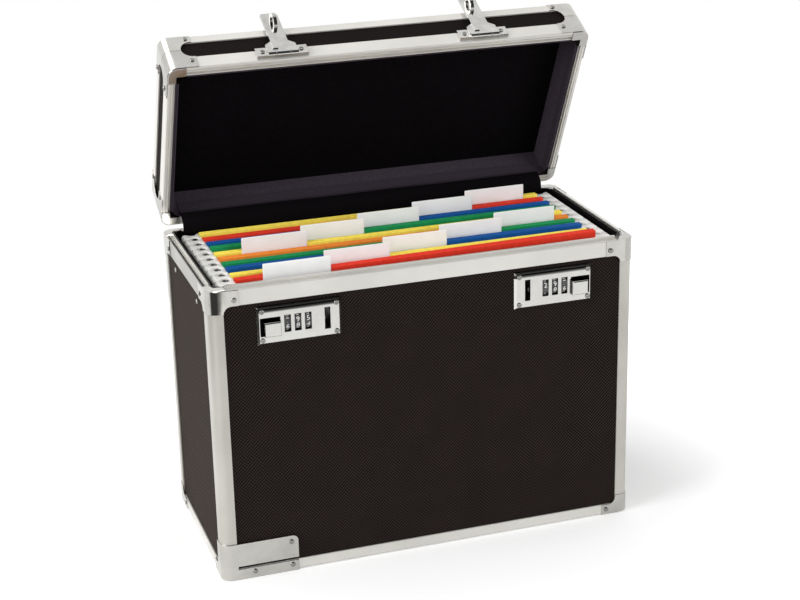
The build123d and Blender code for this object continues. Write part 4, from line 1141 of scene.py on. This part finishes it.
lamp("key", (-1.8, -0.4, 0.95), (0, 0, 0.15), (1.2, 1.0), 27)
fill = lamp("fill", (1.0, -1.7, 0.9), (0, 0, 0.2), (0.9, 1.2), 14)
fill.visible_glossy = False
lamp("top", (-0.7, 0.8, 1.6), (0, 0, 0.2), (0.9, 0.7), 5)
print("floor", 2 * FLOOR_REACH, "wide, with three lamps")

# %% [markdown]
# The walls of the room are white, and give a soft light from all sides. Polished metal needs
# something dark to mirror as well, so in mirrors the room is dark above the front of the box and
# low down on the left, past the end of the floor. Seen directly, the room is plain white.

# %% The room that the metal mirrors
SOFT_LIGHT = 0.62
world = bpy.data.worlds.new("white_room")
bpy.context.scene.world = world
world.use_nodes = True
room = Network(world.node_tree)
direction = room.add("ShaderNodeTexCoord").outputs["Generated"]


def dark_patch(towards, edge, middle):
    """1 away from a direction in the room and nearly 0 close to it."""
    near = room.add("ShaderNodeVectorMath", operation="DOT_PRODUCT")
    room.wire(direction, near.inputs[0])
    near.inputs[1].default_value = Vector(towards).normalized()
    return room.ranged(near.outputs["Value"], edge, middle, 1.0, 0.05, "SMOOTHSTEP")


def wall_light(strength):
    """White light whose strength is a number or comes from a node."""
    background = room.add("ShaderNodeBackground")
    background.inputs["Color"].default_value = (1, 1, 1, 1)
    if isinstance(strength, float):
        background.inputs["Strength"].default_value = strength
    else:
        room.wire(strength, background.inputs["Strength"])
    return background.outputs[0]


above_front = dark_patch((0, -0.8, 0.6), 0.5, 0.78)
low_left = dark_patch((-0.93, -0.15, -0.33), 0.7, 0.88)
ray = room.add("ShaderNodeLightPath").outputs
mirrored = room.math("MAXIMUM", ray["Is Camera Ray"], ray["Is Glossy Ray"])
seen = room.math("MAXIMUM", mirrored, ray["Is Transmission Ray"])
brightness = room.math("MULTIPLY", above_front, low_left)
wall_level = room.math("MAXIMUM", brightness, ray["Is Camera Ray"])
chosen = room.add("ShaderNodeMixShader")
room.wire(seen, chosen.inputs["Fac"])
room.wire(wall_light(SOFT_LIGHT), chosen.inputs[1])
room.wire(wall_light(wall_level), chosen.inputs[2])
room.wire(chosen.outputs[0], room.add("ShaderNodeOutputWorld").inputs["Surface"])
print("room ready")

# %% [markdown]
# The camera stands a little to the left of the front and looks down by about twenty degrees. Its
# turn is built from three directions at right angles, with a slight roll.

# %% Camera
AZIMUTH, ELEVATION, ROLL = math.radians(-18.08), math.radians(20.10), math.radians(-1.31)
DISTANCE, LENS = 1.5569, 80.2
target = Vector((0.0035, 0, 0.1962))
back = Vector((math.sin(AZIMUTH) * math.cos(ELEVATION), -math.cos(AZIMUTH) * math.cos(ELEVATION),
               math.sin(ELEVATION)))
level_right = Vector((0, 0, 1)).cross(back).normalized()
level_up = back.cross(level_right)
right = math.cos(ROLL) * level_right + math.sin(ROLL) * level_up
up = math.cos(ROLL) * level_up - math.sin(ROLL) * level_right
camera_data = bpy.data.cameras.new("camera")
camera_data.lens = LENS
camera_data.sensor_width = 36
camera_data.clip_start = 0.05
camera = bpy.data.objects.new("camera", camera_data)
bpy.context.scene.collection.objects.link(camera)
camera.matrix_world = Matrix.Translation(target + back * DISTANCE) @ Matrix(
    (right, up, back)).transposed().to_4x4()
bpy.context.scene.camera = camera
bpy.context.scene.view_settings.view_transform = "Standard"
print("camera at", [round(v, 3) for v in camera.matrix_world.translation])
